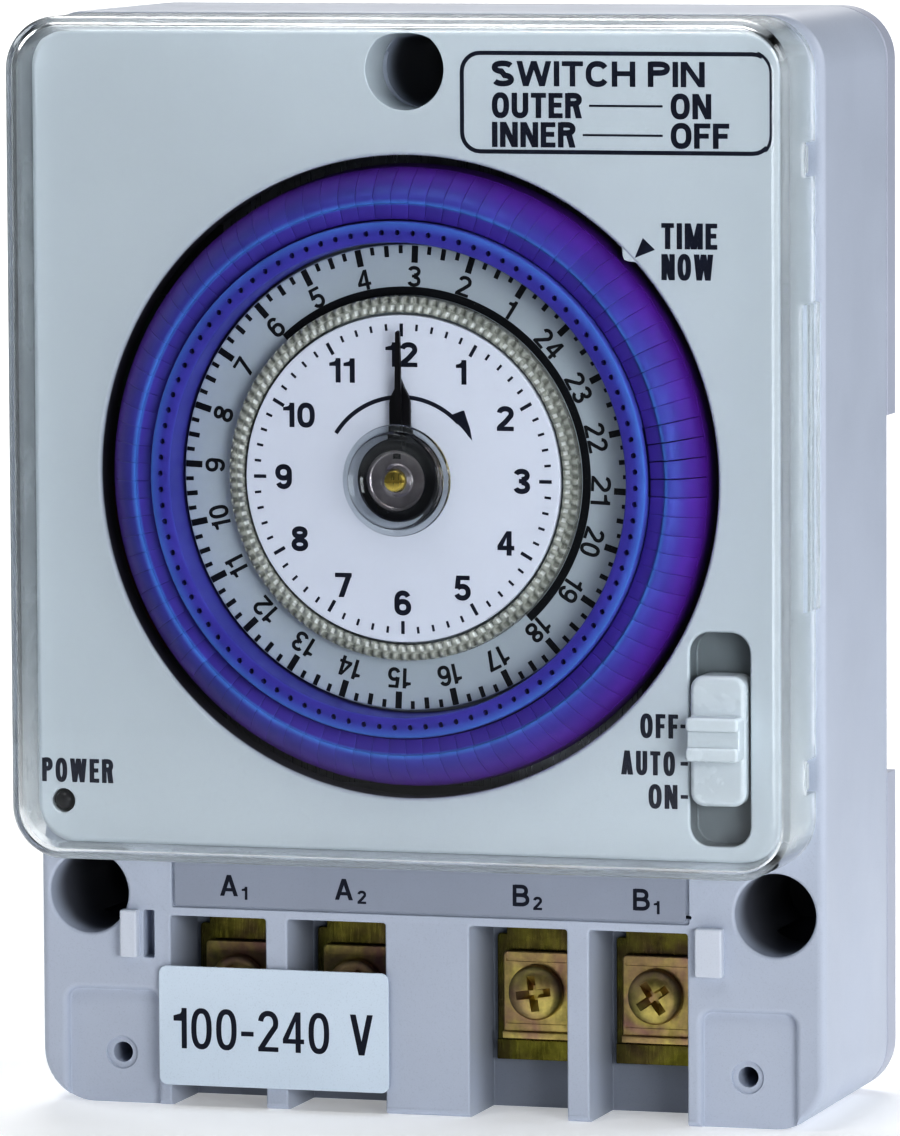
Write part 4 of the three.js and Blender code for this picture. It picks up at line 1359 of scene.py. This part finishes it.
for i, sx in ((1, -1), (2, 1)):
    cx = 41.8 * sx
    screw = make(
        "back_screw_%d" % i,
        lambda bm: add_lathe(
            bm,
            [
                (0, 35.45),
                (1.4, 35.4),
                (2.1, 35.15),
                (2.5, 34.7),
                (2.6, 34.3),
                (2.6, 33.75),
                (1.2, 33.7),
                (1.2, 19.0),
                (0.6, 18.0),
                (0, 18.0),
            ],
            48,
            cx,
            119.5,
        ),
    )
    boolean(
        screw,
        [
            (
                "-",
                make(
                    "x",
                    lambda bm: add_box(
                        bm, cx - 1.6, cx + 1.6, 34.6, 36, 119.2, 119.8, 0
                    ),
                ),
            ),
            (
                "-",
                make(
                    "x",
                    lambda bm: add_box(bm, cx - 0.3, cx + 0.3, 34.6, 36, 117.9, 121.1, 0),
                ),
            ),
        ],
    )
    finish_piece(screw, "case", M["steel"], ["rear_screw_%d" % i])

# rail clip: sprung slider with a finger slot and a ribbed tongue
clip = make("clip_slide", lambda bm: add_box(bm, -7, 7, 31.55, 34.0, 9, 48.4, 0.25))
clip_steps = [
    ("+", make("p", lambda bm: add_box(bm, -6.8, 6.8, 32.6, 35.4, 44.0, 52.4, 0.3))),
    ("+", make("p", lambda bm: add_box(bm, -6.8, 6.8, 33.0, 35.6, 9, 36, 0.3))),
    ("-", make("p", lambda bm: add_box(bm, -3, 3, 30, 37, 11.5, 15, 0.4))),
    ("-", make("p", lambda bm: add_box(bm, -4, 4, 30, 37, 22, 38, 0.5))),
]
for k in range(4):
    clip_steps.append(
        (
            "-",
            make(
                "p",
                lambda bm, k=k: add_box(
                    bm, -5, 5, 35.1, 36.5, 16.4 + k * 1.3, 16.9 + k * 1.3, 0
                ),
            ),
        )
    )
boolean(clip, clip_steps)
finish_piece(clip, "rail_clip", M["clip"], ["din_clip"])

# ------------------------------------------------------------------ face plate
face = make(
    "face_panel",
    lofted(
        plate_rings(-47.57, 47.57, 33.26, 133.3, 5, -7.5, -0.3, 0.8, 0.2, n=12, k=5)
    ),
)
a457 = 45.7
tooth = [
    at(39.3, a457 - 2.6),
    at(38.9, a457 - 1.6),
    at(38.35, a457 - 0.7),
    at(38.15, a457),
    at(38.35, a457 + 0.7),
    at(38.9, a457 + 1.6),
    at(39.3, a457 + 2.6),
]
steps = [
    ("-", cut_rr(-45.5, 45.5, 35.3, 131.2, 3, -5.5, 1.0, 0, 0, over=0)),
    (
        "+",
        make(
            "wall",
            lambda bm: add_lathe(
                bm, [(37, -6.5), (40.3, -6.5), (40.3, -3.6), (37, -3.6)], 128
            ),
        ),
    ),
    (
        "+",
        make(
            "tube",
            lofted(
                [
                    (rr(-6.6, 6.6, 121.8, 132.9, 3, 6), -6.5),
                    (rr(-6.6, 6.6, 121.8, 132.9, 3, 6), -0.3),
                ]
            ),
        ),
    ),
    (
        "+",
        make("pan", lambda bm: add_box(bm, 33.6, 44.5, -6.5, -2.6, 34, 62.8, 0.2)),
    ),
]
for px, pz in ((-34, 113.8), (34, 113.8), (-28.5, 43.5), (28.5, 43.5)):
    steps.append(
        (
            "+",
            make(
                "post",
                lofted([(circle(px, pz, 2.6, 32), -6.5), (circle(px, pz, 2.6, 32), 2.8)]),
            ),
        )
    )
steps += [
    ("-", cut_hole(0, DIAL_Z, 38.9, -7.5, 0.5, 0.55, n=180, k=5)),
    ("-", cut_hole(0, 128.2, 4.9, -7.5, 1.0, 0.15, n=96)),
    ("-", cut_rr(35.3, 42.8, 35.4, 61.2, 2.5, -7.5, -4.0, 0.35, 0.25, n=8)),
    (
        "-",
        make("cut", lambda bm: add_box(bm, 37.8, 40.3, -5, -1, 42.4, 54.0, 0)),
    ),
    ("-", cut_hole(-44.2, 38.5, 1.45, -7.5, 1.0, 0.2, n=48)),
    ("+", make("tooth", lambda bm: add_prism_y(bm, tooth, -7.35, -5.6, 0.12))),
    (
        "+",
        make("catch", lambda bm: add_box(bm, 46.8, 48.7, -4.4, -2.2, 115.9, 119.3, 0.3)),
    ),
    (
        "+",
        make("catch", lambda bm: add_box(bm, 46.8, 48.7, -4.4, -2.2, 41.9, 45.3, 0.3)),
    ),
]
boolean(face, steps)
finish_piece(face, "case", M["face"], ["face_plate"])

lamp = make(
    "indicator_lamp",
    lambda bm: add_lathe(
        bm,
        [
            (0, -7.75),
            (0.45, -7.7),
            (0.85, -7.5),
            (1.1, -7.15),
            (1.2, -6.7),
            (1.2, -2.2),
            (0, -2.2),
        ],
        40,
        -44.2,
        38.5,
    ),
)
finish_piece(lamp, "case", M["led"], ["power_led"], weighted=False)

# ------------------------------------------------------------------ clear cover
cover = make(
    "window_cover",
    lofted(plate_rings(-49, 49, 31.95, 134.6, 6.5, -14.7, -0.3, 2.4, 0.2, n=14, k=9)),
)
inner = []
for i in range(9):
    a = PI / 2 * i / 8
    o = 1.15 + 1.3 * (1 - math.sin(a))
    inner.append((o, -13.55 + 1.3 * (1 - math.cos(a))))
inner.append((1.15, 2.0))
inner_rings = [
    (rr(-49 + o, 49 - o, 31.95 + o, 134.6 - o, 6.5 - o, 14), y) for o, y in inner
]
gap = lambda x0, x1, y0, y1, z0, z1, b=0.0: (
    "-",
    make("cut", lambda bm: add_box(bm, x0, x1, y0, y1, z0, z1, b)),
)
steps = [
    ("-", make("cut", lofted(inner_rings))),
    gap(-50, -47, -1.0, 2, 30, 136),
    gap(-50, -47.5, -3.4, 2, 121.6, 127.4),
    gap(-50, -47.5, -3.4, 2, 39.6, 45.4),
    gap(-50, -47.5, -2.1, 2, 118.4, 130.6),
    gap(-50, -47.5, -2.1, 2, 36.4, 48.6),
    gap(47, 50, -4.8, 2, 115.5, 119.7),
    gap(47, 50, -4.8, 2, 41.5, 45.7),
    (
        "+",
        make("grip", lambda bm: add_box(bm, 48.5, 49.6, -6.2, -0.3, 63.6, 100.5, 0.2)),
    ),
    gap(49.2, 50, -5.2, -4.4, 60, 104),
    gap(49.2, 50, -3.4, -2.6, 60, 104),
]
boolean(cover, steps)
finish_piece(
    cover, "cover", M["window"], ["clear_cover"], weighted=True
)

# ------------------------------------------------------------------ segment ring
carrier = make(
    "pin_carrier",
    lambda bm: add_lathe(
        bm,
        [
            (28.6, -5.4),
            (28.6, -11.45),
            (28.68, -11.68),
            (28.9, -11.8),
            (30.75, -11.8),
            (31.02, -11.72),
            (31.15, -11.55),
            (31.2, -11.3),
            (31.2, -6.75),
            (31.35, -6.6),
            (37.45, -6.6),
            (37.8, -3.9),
            (37.3, -3.9),
            (37.3, -5.4),
        ],
        288,
    ),
)


def dot_cutters(bm):
    for i in range(96):
        x, z = at(29.85, 77.5 + 3.75 * (i + 0.5))
        add_loft(bm, [(circle(x, z, 0.34, 12), -12.2), (circle(x, z, 0.3, 12), -10.6)])


def tail_pockets(bm):
    """Room inside the inner rim for the tails of the four segments that slide."""
    edge = math.degrees(0.09 / 31.0)
    angles = [77.5 - edge + (15 + 2 * edge) * i / 16 for i in range(17)]
    outline = [at(29.6, a) for a in angles] + [at(31.3, a) for a in reversed(angles)]
    add_loft(bm, [(outline, -10.72), (outline, -6.78)])


boolean(carrier, [("-", make("dots", dot_cutters)), ("-", make("pockets", tail_pockets))])
finish_piece(carrier, "day", M["violet"], angle=35, weighted=False)

PIN = [
    (31.36, -6.9),
    (31.36, -10.5),
    (31.46, -10.6),
    (33.1, -10.6),
    (33.24, -10.66),
    (33.28, -10.85),
    (33.33, -11.03),
    (33.5, -11.1),
    (33.95, -11.05),
    (34.6, -10.72),
    (35.4, -9.98),
    (36.2, -9.05),
    (36.85, -8.1),
    (37.25, -7.3),
    (37.4, -6.9),
]


def add_segment(bm, i):
    """One set pin: its section swept across its width, its two flanks drawn in a little."""
    mid = math.radians(77.5 + 3.75 * (i + 0.5))
    cr = 34.6
    cy = -8.7
    rows = []
    for t, inset in ((-1, 0.05), (-0.96, 0.012), (-0.9, 0), (0.9, 0), (0.96, 0.012), (1, 0.05)):
        row = []
        for r, y in PIN:
            d = math.hypot(cr - r, cy - y)
            q = r + (cr - r) / d * inset
            w = y + (cy - y) / d * inset
            half = r * math.tan(math.radians(3.75 / 2)) - (0.055 if i < 4 else 0.012)
            s = t * half
            x = q * math.sin(mid) + s * math.cos(mid)
            z = DIAL_Z + q * math.cos(mid) - s * math.sin(mid)
            row.append(bm.verts.new((x, w, z)))
        rows.append(row)
    n = len(PIN)
    for a, b in zip(rows, rows[1:]):
        for k in range(n):
            j = (k + 1) % n
            bm.faces.new((a[k], a[j], b[j], b[k]))
    bm.faces.new(rows[0][::-1])
    bm.faces.new(rows[-1])


segments = make(
    "set_segments", lambda bm: [add_segment(bm, i) for i in range(4, 96)] and None
)
finish_piece(
    segments,
    "day",
    M["violet"],
    ["segment_ring"],
    angle=50,
    weighted=False,
)
for i in range(4):
    seg = make("set_segment_%d" % (i + 1), lambda bm, i=i: add_segment(bm, i))
    finish_piece(
        seg,
        "set_pin_%d" % (i + 1),
        M["violet"],
        ["set_pin_%d" % (i + 1)],
        angle=50,
        weighted=False,
    )

# ------------------------------------------------------------------ day dial
day = make(
    "day_disc",
    lambda bm: add_lathe(
        bm,
        [
            (6.4, -7.3),
            (27.95, -7.3),
            (28.15, -7.22),
            (28.2, -7.05),
            (28.2, -5.1),
            (37.0, -5.1),
            (37.0, -3.9),
            (27.0, -3.9),
            (27.0, -6.1),
            (8.4, -6.1),
            (8.4, -0.6),
            (6.4, -0.6),
        ],
        160,
    ),
)
finish_piece(day, "day", M["dial"], ["day_dial"])


def day_marks(bm):
    y = -7.3
    for h in range(24):
        deg = 47.5 - 15.0 * h
        ray_mark(bm, 26.0, 28.05, deg, 0.78, y)
        ray_mark(bm, 27.1, 28.05, deg + 3.75, 0.48, y)
        ray_mark(bm, 26.7, 28.05, deg + 7.5, 0.56, y)
        ray_mark(bm, 27.1, 28.05, deg + 11.25, 0.48, y)
    for h in range(1, 25):
        deg = 47.5 - 15.0 * h
        cx, cz = at(24.35, deg)
        s = str(h)
        w = {1: 1.65, 2: 3.4}[len(s)]
        if h == 1:
            w = 0.95
        elif s[0] == "1" and len(s) == 2:
            w = 2.9 if s != "11" else 2.35
        add_text(bm, s, cx - w / 2, cx + w / 2, cz - 1.22, cz + 1.22, y, 0.172, 0.14, deg, (cx, cz))
    arc_mark(bm, 22.6, 1.0, -42.5, 137.5, y, 120)


day_print = make("day_dial_marks", day_marks)
finish_piece(day_print, "day", M["ink_black"], angle=20, weighted=False)


def knurl(r, y, a):
    if y > -8.4:
        return r, y
    k = 0.5 + 0.5 * math.cos(a * 112)
    k2 = 0.5 - 0.5 * math.cos(a * 112)
    if 20.15 < r < 20.75:
        return r, y + 0.42 * k
    if 20.75 <= r < 21.25:
        return r, y + 0.3
    if 21.25 <= r < 21.95:
        return r, y + 0.42 * k2
    return r, y


grip = make(
    "grip_ring",
    lambda bm: add_lathe(
        bm,
        [
            (20.1, -7.6),
            (20.1, -8.9),
            (20.2, -9.12),
            (20.4, -9.2),
            (20.65, -9.15),
            (20.95, -9.15),
            (21.3, -9.15),
            (21.6, -9.2),
            (21.85, -9.05),
            (22.0, -8.8),
            (22.1, -7.6),
        ],
        112 * 8,
        mod=knurl,
    ),
)
finish_piece(
    grip, "day", M["grip"], ["knurled_ring"], angle=60, weighted=False
)

# ------------------------------------------------------------------ clock dial and hands
clock = make(
    "clock_disc",
    lambda bm: add_lathe(
        bm,
        [
            (3.6, -8.2),
            (3.6, -9.2),
            (19.55, -9.2),
            (19.74, -9.12),
            (19.8, -8.95),
            (19.8, -8.2),
        ],
        160,
    ),
)
finish_piece(clock, "case", M["clock"], ["clock_dial"])


def clock_marks(bm):
    y = -9.2
    for i in range(60):
        if i % 5 == 0:
            ray_mark(bm, 17.2, 18.75, i * 6.0, 0.42, y)
        else:
            ray_mark(bm, 17.95, 18.75, i * 6.0, 0.3, y)
    widths = {1: 1.3, 10: 4.0, 11: 3.2, 12: 4.0}
    for h in range(1, 13):
        x, z = at(15.0, h * 30.0)
        w = widths.get(h, 2.1)
        add_text(bm, str(h), x - w / 2, x + w / 2, z - 1.47, z + 1.47, y, 0.21, 0.13)
    arc_mark(bm, 9.9, 0.5, -57.0, 46.0, y, 48)
    head = [at(9.65, 38.0)]
    for k in range(1, 8):
        head.append(at(9.65 + 0.3 * k / 8, 38.0 + 22.5 * k / 8))
    head += [at(10.05, 61.5), at(10.6, 54.0), at(11.0, 48.0), at(11.5, 43.0)]
    head += [at(11.2, 42.0), at(10.2, 39.0)]
    add_mark(bm, head, y - 0.004)


clock_print = make("clock_dial_marks", clock_marks)
finish_piece(clock_print, "case", M["ink"], angle=20, weighted=False)

hour = make(
    "hour_pointer",
    lambda bm: add_lathe(
        bm, [(2.9, -9.65), (2.9, -10.05), (3.0, -10.1), (3.75, -10.1), (3.85, -10.0), (3.85, -9.65)], 64
    ),
)
hour_pts = [
    (-1.3, DIAL_Z + 3.6),
    (1.3, DIAL_Z + 3.6),
    (1.3, DIAL_Z + 9.2),
    (1.22, DIAL_Z + 9.7),
    (0.98, DIAL_Z + 10.3),
    (0.55, DIAL_Z + 11.1),
    (0.2, DIAL_Z + 12.0),
    (0.0, DIAL_Z + 12.4),
    (-0.2, DIAL_Z + 12.0),
    (-0.55, DIAL_Z + 11.1),
    (-0.98, DIAL_Z + 10.3),
    (-1.22, DIAL_Z + 9.7),
    (-1.3, DIAL_Z + 9.2),
]
boolean(
    hour,
    [
        ("+", make("p", lambda bm: add_prism_y(bm, hour_pts, -10.1, -9.6, 0.06))),
    ],
)
finish_piece(hour, "hour", M["black"], ["hour_hand"], angle=35)

minute = make(
    "minute_pointer",
    lambda bm: add_prism_y(
        bm,
        [
            (-0.5, DIAL_Z + 2.6),
            (0.5, DIAL_Z + 2.6),
            (0.42, DIAL_Z + 8.0),
            (0.26, DIAL_Z + 17.8),
            (0.0, DIAL_Z + 18.0),
            (-0.26, DIAL_Z + 17.8),
            (-0.42, DIAL_Z + 8.0),
        ],
        -10.9,
        -10.4,
        0.05,
    ),
)
finish_piece(minute, "minute", M["black"], ["minute_hand"], angle=35)
hub = make(
    "minute_hub",
    lambda bm: add_lathe(
        bm,
        [
            (1.45, -10.4),
            (1.45, -11.0),
            (1.9, -11.05),
            (2.1, -10.9),
            (3.3, -10.9),
            (3.45, -11.0),
            (3.75, -11.0),
            (3.9, -10.85),
            (3.9, -10.4),
        ],
        64,
    ),
)
finish_piece(hub, "minute", M["hub"])
collar = make(
    "minute_collar",
    lambda bm: add_lathe(
        bm,
        [
            (3.85, -10.45),
            (3.85, -11.05),
            (3.95, -11.15),
            (4.8, -11.15),
            (4.95, -11.0),
            (4.95, -10.6),
            (4.8, -10.45),
        ],
        72,
    ),
)
finish_piece(collar, "minute", M["black"])

knob = make(
    "setting_knob",
    lambda bm: add_lathe(
        bm,
        [
            (1.45, -11.2),
            (1.45, -12.2),
            (1.6, -12.4),
            (2.0, -12.48),
            (3.5, -12.5),
            (3.85, -12.58),
            (4.1, -12.78),
            (4.35, -12.88),
            (4.7, -12.9),
            (5.4, -12.9),
            (5.65, -12.84),
            (5.8, -12.65),
            (5.85, -12.1),
            (5.95, -11.9),
            (6.15, -11.82),
            (6.55, -11.8),
            (6.7, -11.72),
            (6.75, -11.55),
            (6.75, -11.3),
            (6.65, -11.2),
        ],
        96,
    ),
)
finish_piece(knob, "minute", M["knob"], ["time_knob"], angle=50, weighted=False)

tip = make(
    "arbor_tip",
    lambda bm: add_lathe(
        bm,
        [
            (0, -12.7),
            (0.75, -12.7),
            (1.1, -12.62),
            (1.26, -12.45),
            (1.3, -12.2),
            (1.3, 19.3),
            (1.1, 19.5),
            (0, 19.5),
        ],
        48,
    ),
)


def spur(bm, n, pitch_r, cz, y0, y1, tooth_at):
    m = 2 * pitch_r / n
    p = 2 * PI / n
    ro, ri = pitch_r + 0.72 * m, pitch_r - 1.05 * m
    wr, wt = 0.27 * p * (pitch_r / ri) * 0.86, 0.085 * p
    pts = []
    for i in range(n):
        c = math.radians(tooth_at) + i * p
        for r, a in ((ri, c - wr), (ro, c - wt), (ro, c + wt), (ri, c + wr)):
            pts.append((r * math.cos(a), cz + r * math.sin(a)))
    add_loft(bm, [(pts, y0), (pts, y1)])


boolean(
    tip,
    [
        (
            "-",
            make("slot", lambda bm: add_box(bm, -1.6, 1.6, -13, -12.35, DIAL_Z - 0.17, DIAL_Z + 0.17, 0)),
        ),
        ("+", make("teeth", lambda bm: spur(bm, 8, 4.2, DIAL_Z, 8.0, 10.0, -90))),
    ],
)
finish_piece(tip, "minute", M["brass"], ["minute_arbor"])

# ------------------------------------------------------------------ mode slide
slide = make(
    "mode_button",
    lofted(plate_rings(35.6, 42.5, 40.3, 56.1, 1.7, -8.6, -4.3, 0.7, 0.1, n=8, k=5)),
)
boolean(
    slide,
    [
        (
            "+",
            make(
                "rib",
                lofted(plate_rings(35.8, 42.3, 46.0, 47.7, 0.5, -11.5, -8.2, 0.35, 0, n=5)),
            ),
        ),
        (
            "+",
            make(
                "rib",
                lofted(plate_rings(35.8, 42.3, 49.6, 51.3, 0.5, -11.5, -8.2, 0.35, 0, n=5)),
            ),
        ),
        (
            "+",
            make(
                "web",
                lofted(plate_rings(35.8, 42.3, 46.4, 51.0, 0.5, -10.6, -8.2, 0.2, 0, n=5)),
            ),
        ),
        ("+", make("stem", lambda bm: add_box(bm, 38.05, 40.05, -5, 2.2, 47, 49.4, 0.1))),
    ],
)
finish_piece(slide, "slider", M["white"], ["mode_slider"])

# ------------------------------------------------------------------ terminals
for n, (x0, x1) in enumerate(POCKETS, 1):
    xc = (x0 + x1) / 2
    plate = make(
        "contact_strip_%d" % n,
        lofted(plate_rings(xc - 5.4, xc + 5.4, 6.0, 21.6, 0.5, 9.5, 10.2, 0.15, 0.1, n=4)),
    )
    boolean(
        plate,
        [
            ("+", make("p", lofted(plate_rings(xc - 4.2, xc + 4.2, 20, 31, 0.3, 9.5, 10.2, 0.1, 0.1, n=3)))),
            ("+", make("rest", lambda bm, xc=xc: add_box(bm, xc - 5.4, xc + 5.4, 9.2, 9.8, 6.0, 8.5, 0.12))),
            ("-", cut_hole(xc, 14.6, 2.0, 9.5, 11, 0.15, n=40)),
        ],
    )
    finish_piece(plate, "case", M["olive"], ["terminal_plate_%d" % n])
    washer = make(
        "saddle_washer_%d" % n,
        lofted(plate_rings(xc - 4.3, xc + 4.3, 8.8, 19.6, 0.6, 8.3, 9.2, 0.2, 0.15, n=5)),
    )
    boolean(
        washer,
        [
            ("+", make("lip", lambda bm, xc=xc: add_box(bm, xc - 4.3, xc + 4.3, 7.7, 9.0, 8.8, 9.7, 0.15))),
            ("-", cut_hole(xc, 14.6, 2.2, 8.3, 10, 0.15, n=40)),
            ("-", make("b", lambda bm, xc=xc: add_box(bm, xc - 3.9, xc + 3.9, 7, 8.45, 10.6, 10.95, 0))),
            ("-", make("b", lambda bm, xc=xc: add_box(bm, xc - 3.9, xc + 3.9, 7, 8.45, 18.3, 18.65, 0))),
        ],
    )
    finish_piece(washer, "case", M["zinc"], ["clamp_washer_%d" % n])
    turn = (18, -27, 8, 34)[n - 1]
    screw = make(
        "terminal_bolt_%d" % n,
        lambda bm, xc=xc: add_lathe(
            bm,
            [
                (0, 6.35),
                (1.5, 6.42),
                (2.5, 6.62),
                (3.05, 6.92),
                (3.32, 7.25),
                (3.4, 7.6),
                (3.4, 7.85),
                (3.28, 8.0),
                (1.9, 8.0),
                (1.75, 8.1),
                (1.75, 14.3),
                (1.4, 14.8),
                (0, 14.8),
            ],
            72,
            xc,
            14.6,
        ),
    )

    blades = []
    for extra in (0, 90):
        bm = bmesh.new()
        a = math.radians(turn + extra)
        s, c = math.sin(a), math.cos(a)
        rings = []
        for half, w, y in ((2.35, 0.62, 6.0), (2.2, 0.5, 6.6), (0.9, 0.3, 7.9)):
            pts = []
            for u, v in ((half, w), (-half, w), (-half, -w), (half, -w)):
                pts.append((xc + u * c - v * s, 14.6 + u * s + v * c))
            rings.append((pts, y))
        add_loft(bm, rings)
        blades.append(("-", as_object("blade", bm)))
    boolean(screw, blades)
    finish_piece(screw, "case", M["zinc"], ["terminal_screw_%d" % n])

# ------------------------------------------------------------------ labels and their print
strip = make(
    "header_strip",
    lofted(plate_rings(-32.6, 32.6, 25.0, 33.2, 0.3, 0.05, 0.25, 0.04, 0.02, n=3)),
)
finish_piece(strip, "case", M["strip"], ["header_label"])
card = make(
    "voltage_card",
    lofted(plate_rings(-34.5, -4.9, 2.7, 17.5, 1.0, -0.75, -0.35, 0.1, 0.1, n=8)),
)
finish_piece(card, "case", M["card"], ["voltage_label"])


def panel_marks(bm):
    y = -7.5
    frame_mark(bm, 7.0, 45.8, 118.2, 130.5, 2.5, 0.5, y)
    add_text(bm, "SWITCH PIN", 11.0, 37.4, 126.3, 129.3, y, 0.225, 0.11)
    add_text(bm, "OUTER", 11.0, 22.2, 122.5, 125.5, y, 0.225, 0.11)
    add_text(bm, "ON", 33.2, 38.2, 122.5, 125.5, y, 0.225, 0.11)
    add_text(bm, "INNER", 11.0, 21.4, 119.0, 122.0, y, 0.225, 0.11)
    add_text(bm, "OFF", 33.2, 40.4, 119.0, 122.0, y, 0.225, 0.11)
    for z, xa in ((124.0, 23.1), (120.5, 22.3)):
        add_mark(bm, [(xa, z - 0.12), (32.2, z - 0.13), (32.2, z + 0.13), (xa, z + 0.13)], y)
    add_mark(bm, [(28.7, 105.9), (31.2, 106.9), (29.7, 108.3)], y)
    add_text(bm, "TIME", 32.0, 38.9, 107.0, 110.1, y, 0.21, 0.11)
    add_text(bm, "NOW", 32.0, 38.4, 103.3, 106.4, y, 0.21, 0.11)
    add_text(bm, "OFF", 29.2, 33.9, 48.3, 51.2, y, 0.2, 0.13)
    add_text(bm, "AUTO", 26.8, 33.5, 43.8, 46.7, y, 0.2, 0.13)
    add_text(bm, "ON", 30.2, 33.8, 39.8, 42.7, y, 0.2, 0.13)
    for z in (49.8, 45.3, 41.3):
        add_mark(bm, [(34.2, z - 0.22), (35.1, z - 0.22), (35.1, z + 0.22), (34.2, z + 0.22)], y)
    add_text(bm, "POWER", -46.9, -37.7, 40.8, 43.7, y, 0.2, 0.13)


panel_print = make("panel_marks", panel_marks)
finish_piece(panel_print, "case", M["ink"], angle=20, weighted=False)


def strip_marks(bm):
    y = 0.05
    for s, xa, xb in (("A", -26.7, -24.4), ("A", -11.9, -9.6), ("B", 10.8, 12.9), ("B", 26.0, 28.1)):
        add_text(bm, s, xa, xb, 26.3, 28.9, y, 0.18)
    for s, xa in (("1", -23.9), ("2", -9.0), ("2", 13.4), ("1", 28.6)):
        w = 0.72 if s == "1" else 1.1
        add_text(bm, s, xa, xa + w, 25.9, 27.5, y, 0.2)


strip_print = make("strip_marks", strip_marks)
finish_piece(strip_print, "case", M["ink"], angle=20, weighted=False)
card_print = make(
    "card_marks",
    lambda bm: add_text(bm, "100-240 V", -32.6, -6.9, 7.3, 12.3, -0.75, 0.13, 0.12),
)
finish_piece(card_print, "case", M["ink"], angle=20, weighted=False)

# ------------------------------------------------------------------ floor, backdrop and light
bm = bmesh.new()
floor_z = OFF.z * 0.001
centre = bm.verts.new((0.0, 0.0, floor_z))
loops = []
for rad in (0.2, 0.5, 0.95):
    loops.append(
        [
            bm.verts.new((rad * math.cos(2 * PI * i / 96), rad * math.sin(2 * PI * i / 96), floor_z))
            for i in range(96)
        ]
    )
for i in range(96):
    j = (i + 1) % 96
    bm.faces.new((centre, loops[0][i], loops[0][j]))
    for p, q in zip(loops, loops[1:]):
        bm.faces.new((p[i], q[i], q[j], p[j]))
stage = as_object("studio_floor", bm)
t = Tree("studio_paper")
t.link(
    t.ramp(t.noise(3.0, 2.0), [(0.3, (0.89, 0.9, 0.91, 1)), (0.7, (0.92, 0.93, 0.94, 1))]),
    t.b.inputs["Base Color"],
)
t.b.inputs["Roughness"].default_value = 0.9
t.b.inputs["Specular IOR Level"].default_value = 0.1
t.b.inputs["Emission Color"].default_value = (1.0, 1.0, 1.0, 1.0)
t.b.inputs["Emission Strength"].default_value = 0.21
x, y, z = t.axis()
away = t.math("SQRT", t.math("ADD", t.math("MULTIPLY", x, x), t.math("MULTIPLY", y, y)))
gone = t.t.nodes.new("ShaderNodeBsdfTransparent")
fade = t.t.nodes.new("ShaderNodeMixShader")
t.link(t.maprange(away, 0.16, 0.6, 0.0, 1.0, True), fade.inputs[0])
t.link(t.b.outputs[0], fade.inputs[1])
t.link(gone.outputs[0], fade.inputs[2])
t.link(fade.outputs[0], t.out.inputs[0])
stage.data.materials.append(t.m)

world = bpy.data.worlds.new("studio")
scene.world = world
world.use_nodes = True
wt = world.node_tree
wt.nodes.clear()
wo = wt.nodes.new("ShaderNodeOutputWorld")
wb = wt.nodes.new("ShaderNodeBackground")
wb.inputs["Color"].default_value = (0.88, 0.93, 1.0, 1.0)
wb.inputs["Strength"].default_value = 0.05
ww = wt.nodes.new("ShaderNodeBackground")
ww.inputs["Color"].default_value = (1.0, 1.0, 1.0, 1.0)
ww.inputs["Strength"].default_value = 1.0
wp = wt.nodes.new("ShaderNodeLightPath")
wm = wt.nodes.new("ShaderNodeMixShader")
wt.links.new(wp.outputs["Is Camera Ray"], wm.inputs[0])
wt.links.new(wb.outputs[0], wm.inputs[1])
wt.links.new(ww.outputs[0], wm.inputs[2])
wt.links.new(wm.outputs[0], wo.inputs[0])


def softbox(name, loc, aim, size, energy, color=(1, 1, 1), gloss=True):
    d = bpy.data.lights.new(name, "AREA")
    d.shape = "RECTANGLE"
    d.size, d.size_y = size
    d.energy = energy
    d.color = color
    o = bpy.data.objects.new(name, d)
    scene.collection.objects.link(o)
    o.location = loc
    o.rotation_euler = (Vector(aim) - Vector(loc)).to_track_quat("-Z", "Y").to_euler()
    o.visible_glossy = gloss
    return o


softbox("key", (-0.3, -0.8, 1.8), (0, 0, 0.07), (0.6, 0.5), 4.8, (1.0, 0.99, 0.98))
softbox("side", (0.47, -0.5, 0.09), (0.03, 0, 0.05), (0.3, 0.3), 1.85, (0.97, 0.985, 1.0), False)
softbox("right", (1.2, 0.3, 0.75), (0, 0, 0.07), (0.6, 0.6), 4.6, (0.96, 0.98, 1.0))
softbox("left", (-1.15, 0.3, 0.8), (0, 0, 0.07), (0.6, 0.6), 3.4, (0.96, 0.98, 1.0))
softbox("rear", (-0.25, 1.1, 1.0), (0, 0, 0.07), (0.7, 0.6), 7.5, (1.0, 0.99, 0.98))
scene.view_settings.view_transform = "Standard"
scene.view_settings.look = "High Contrast"
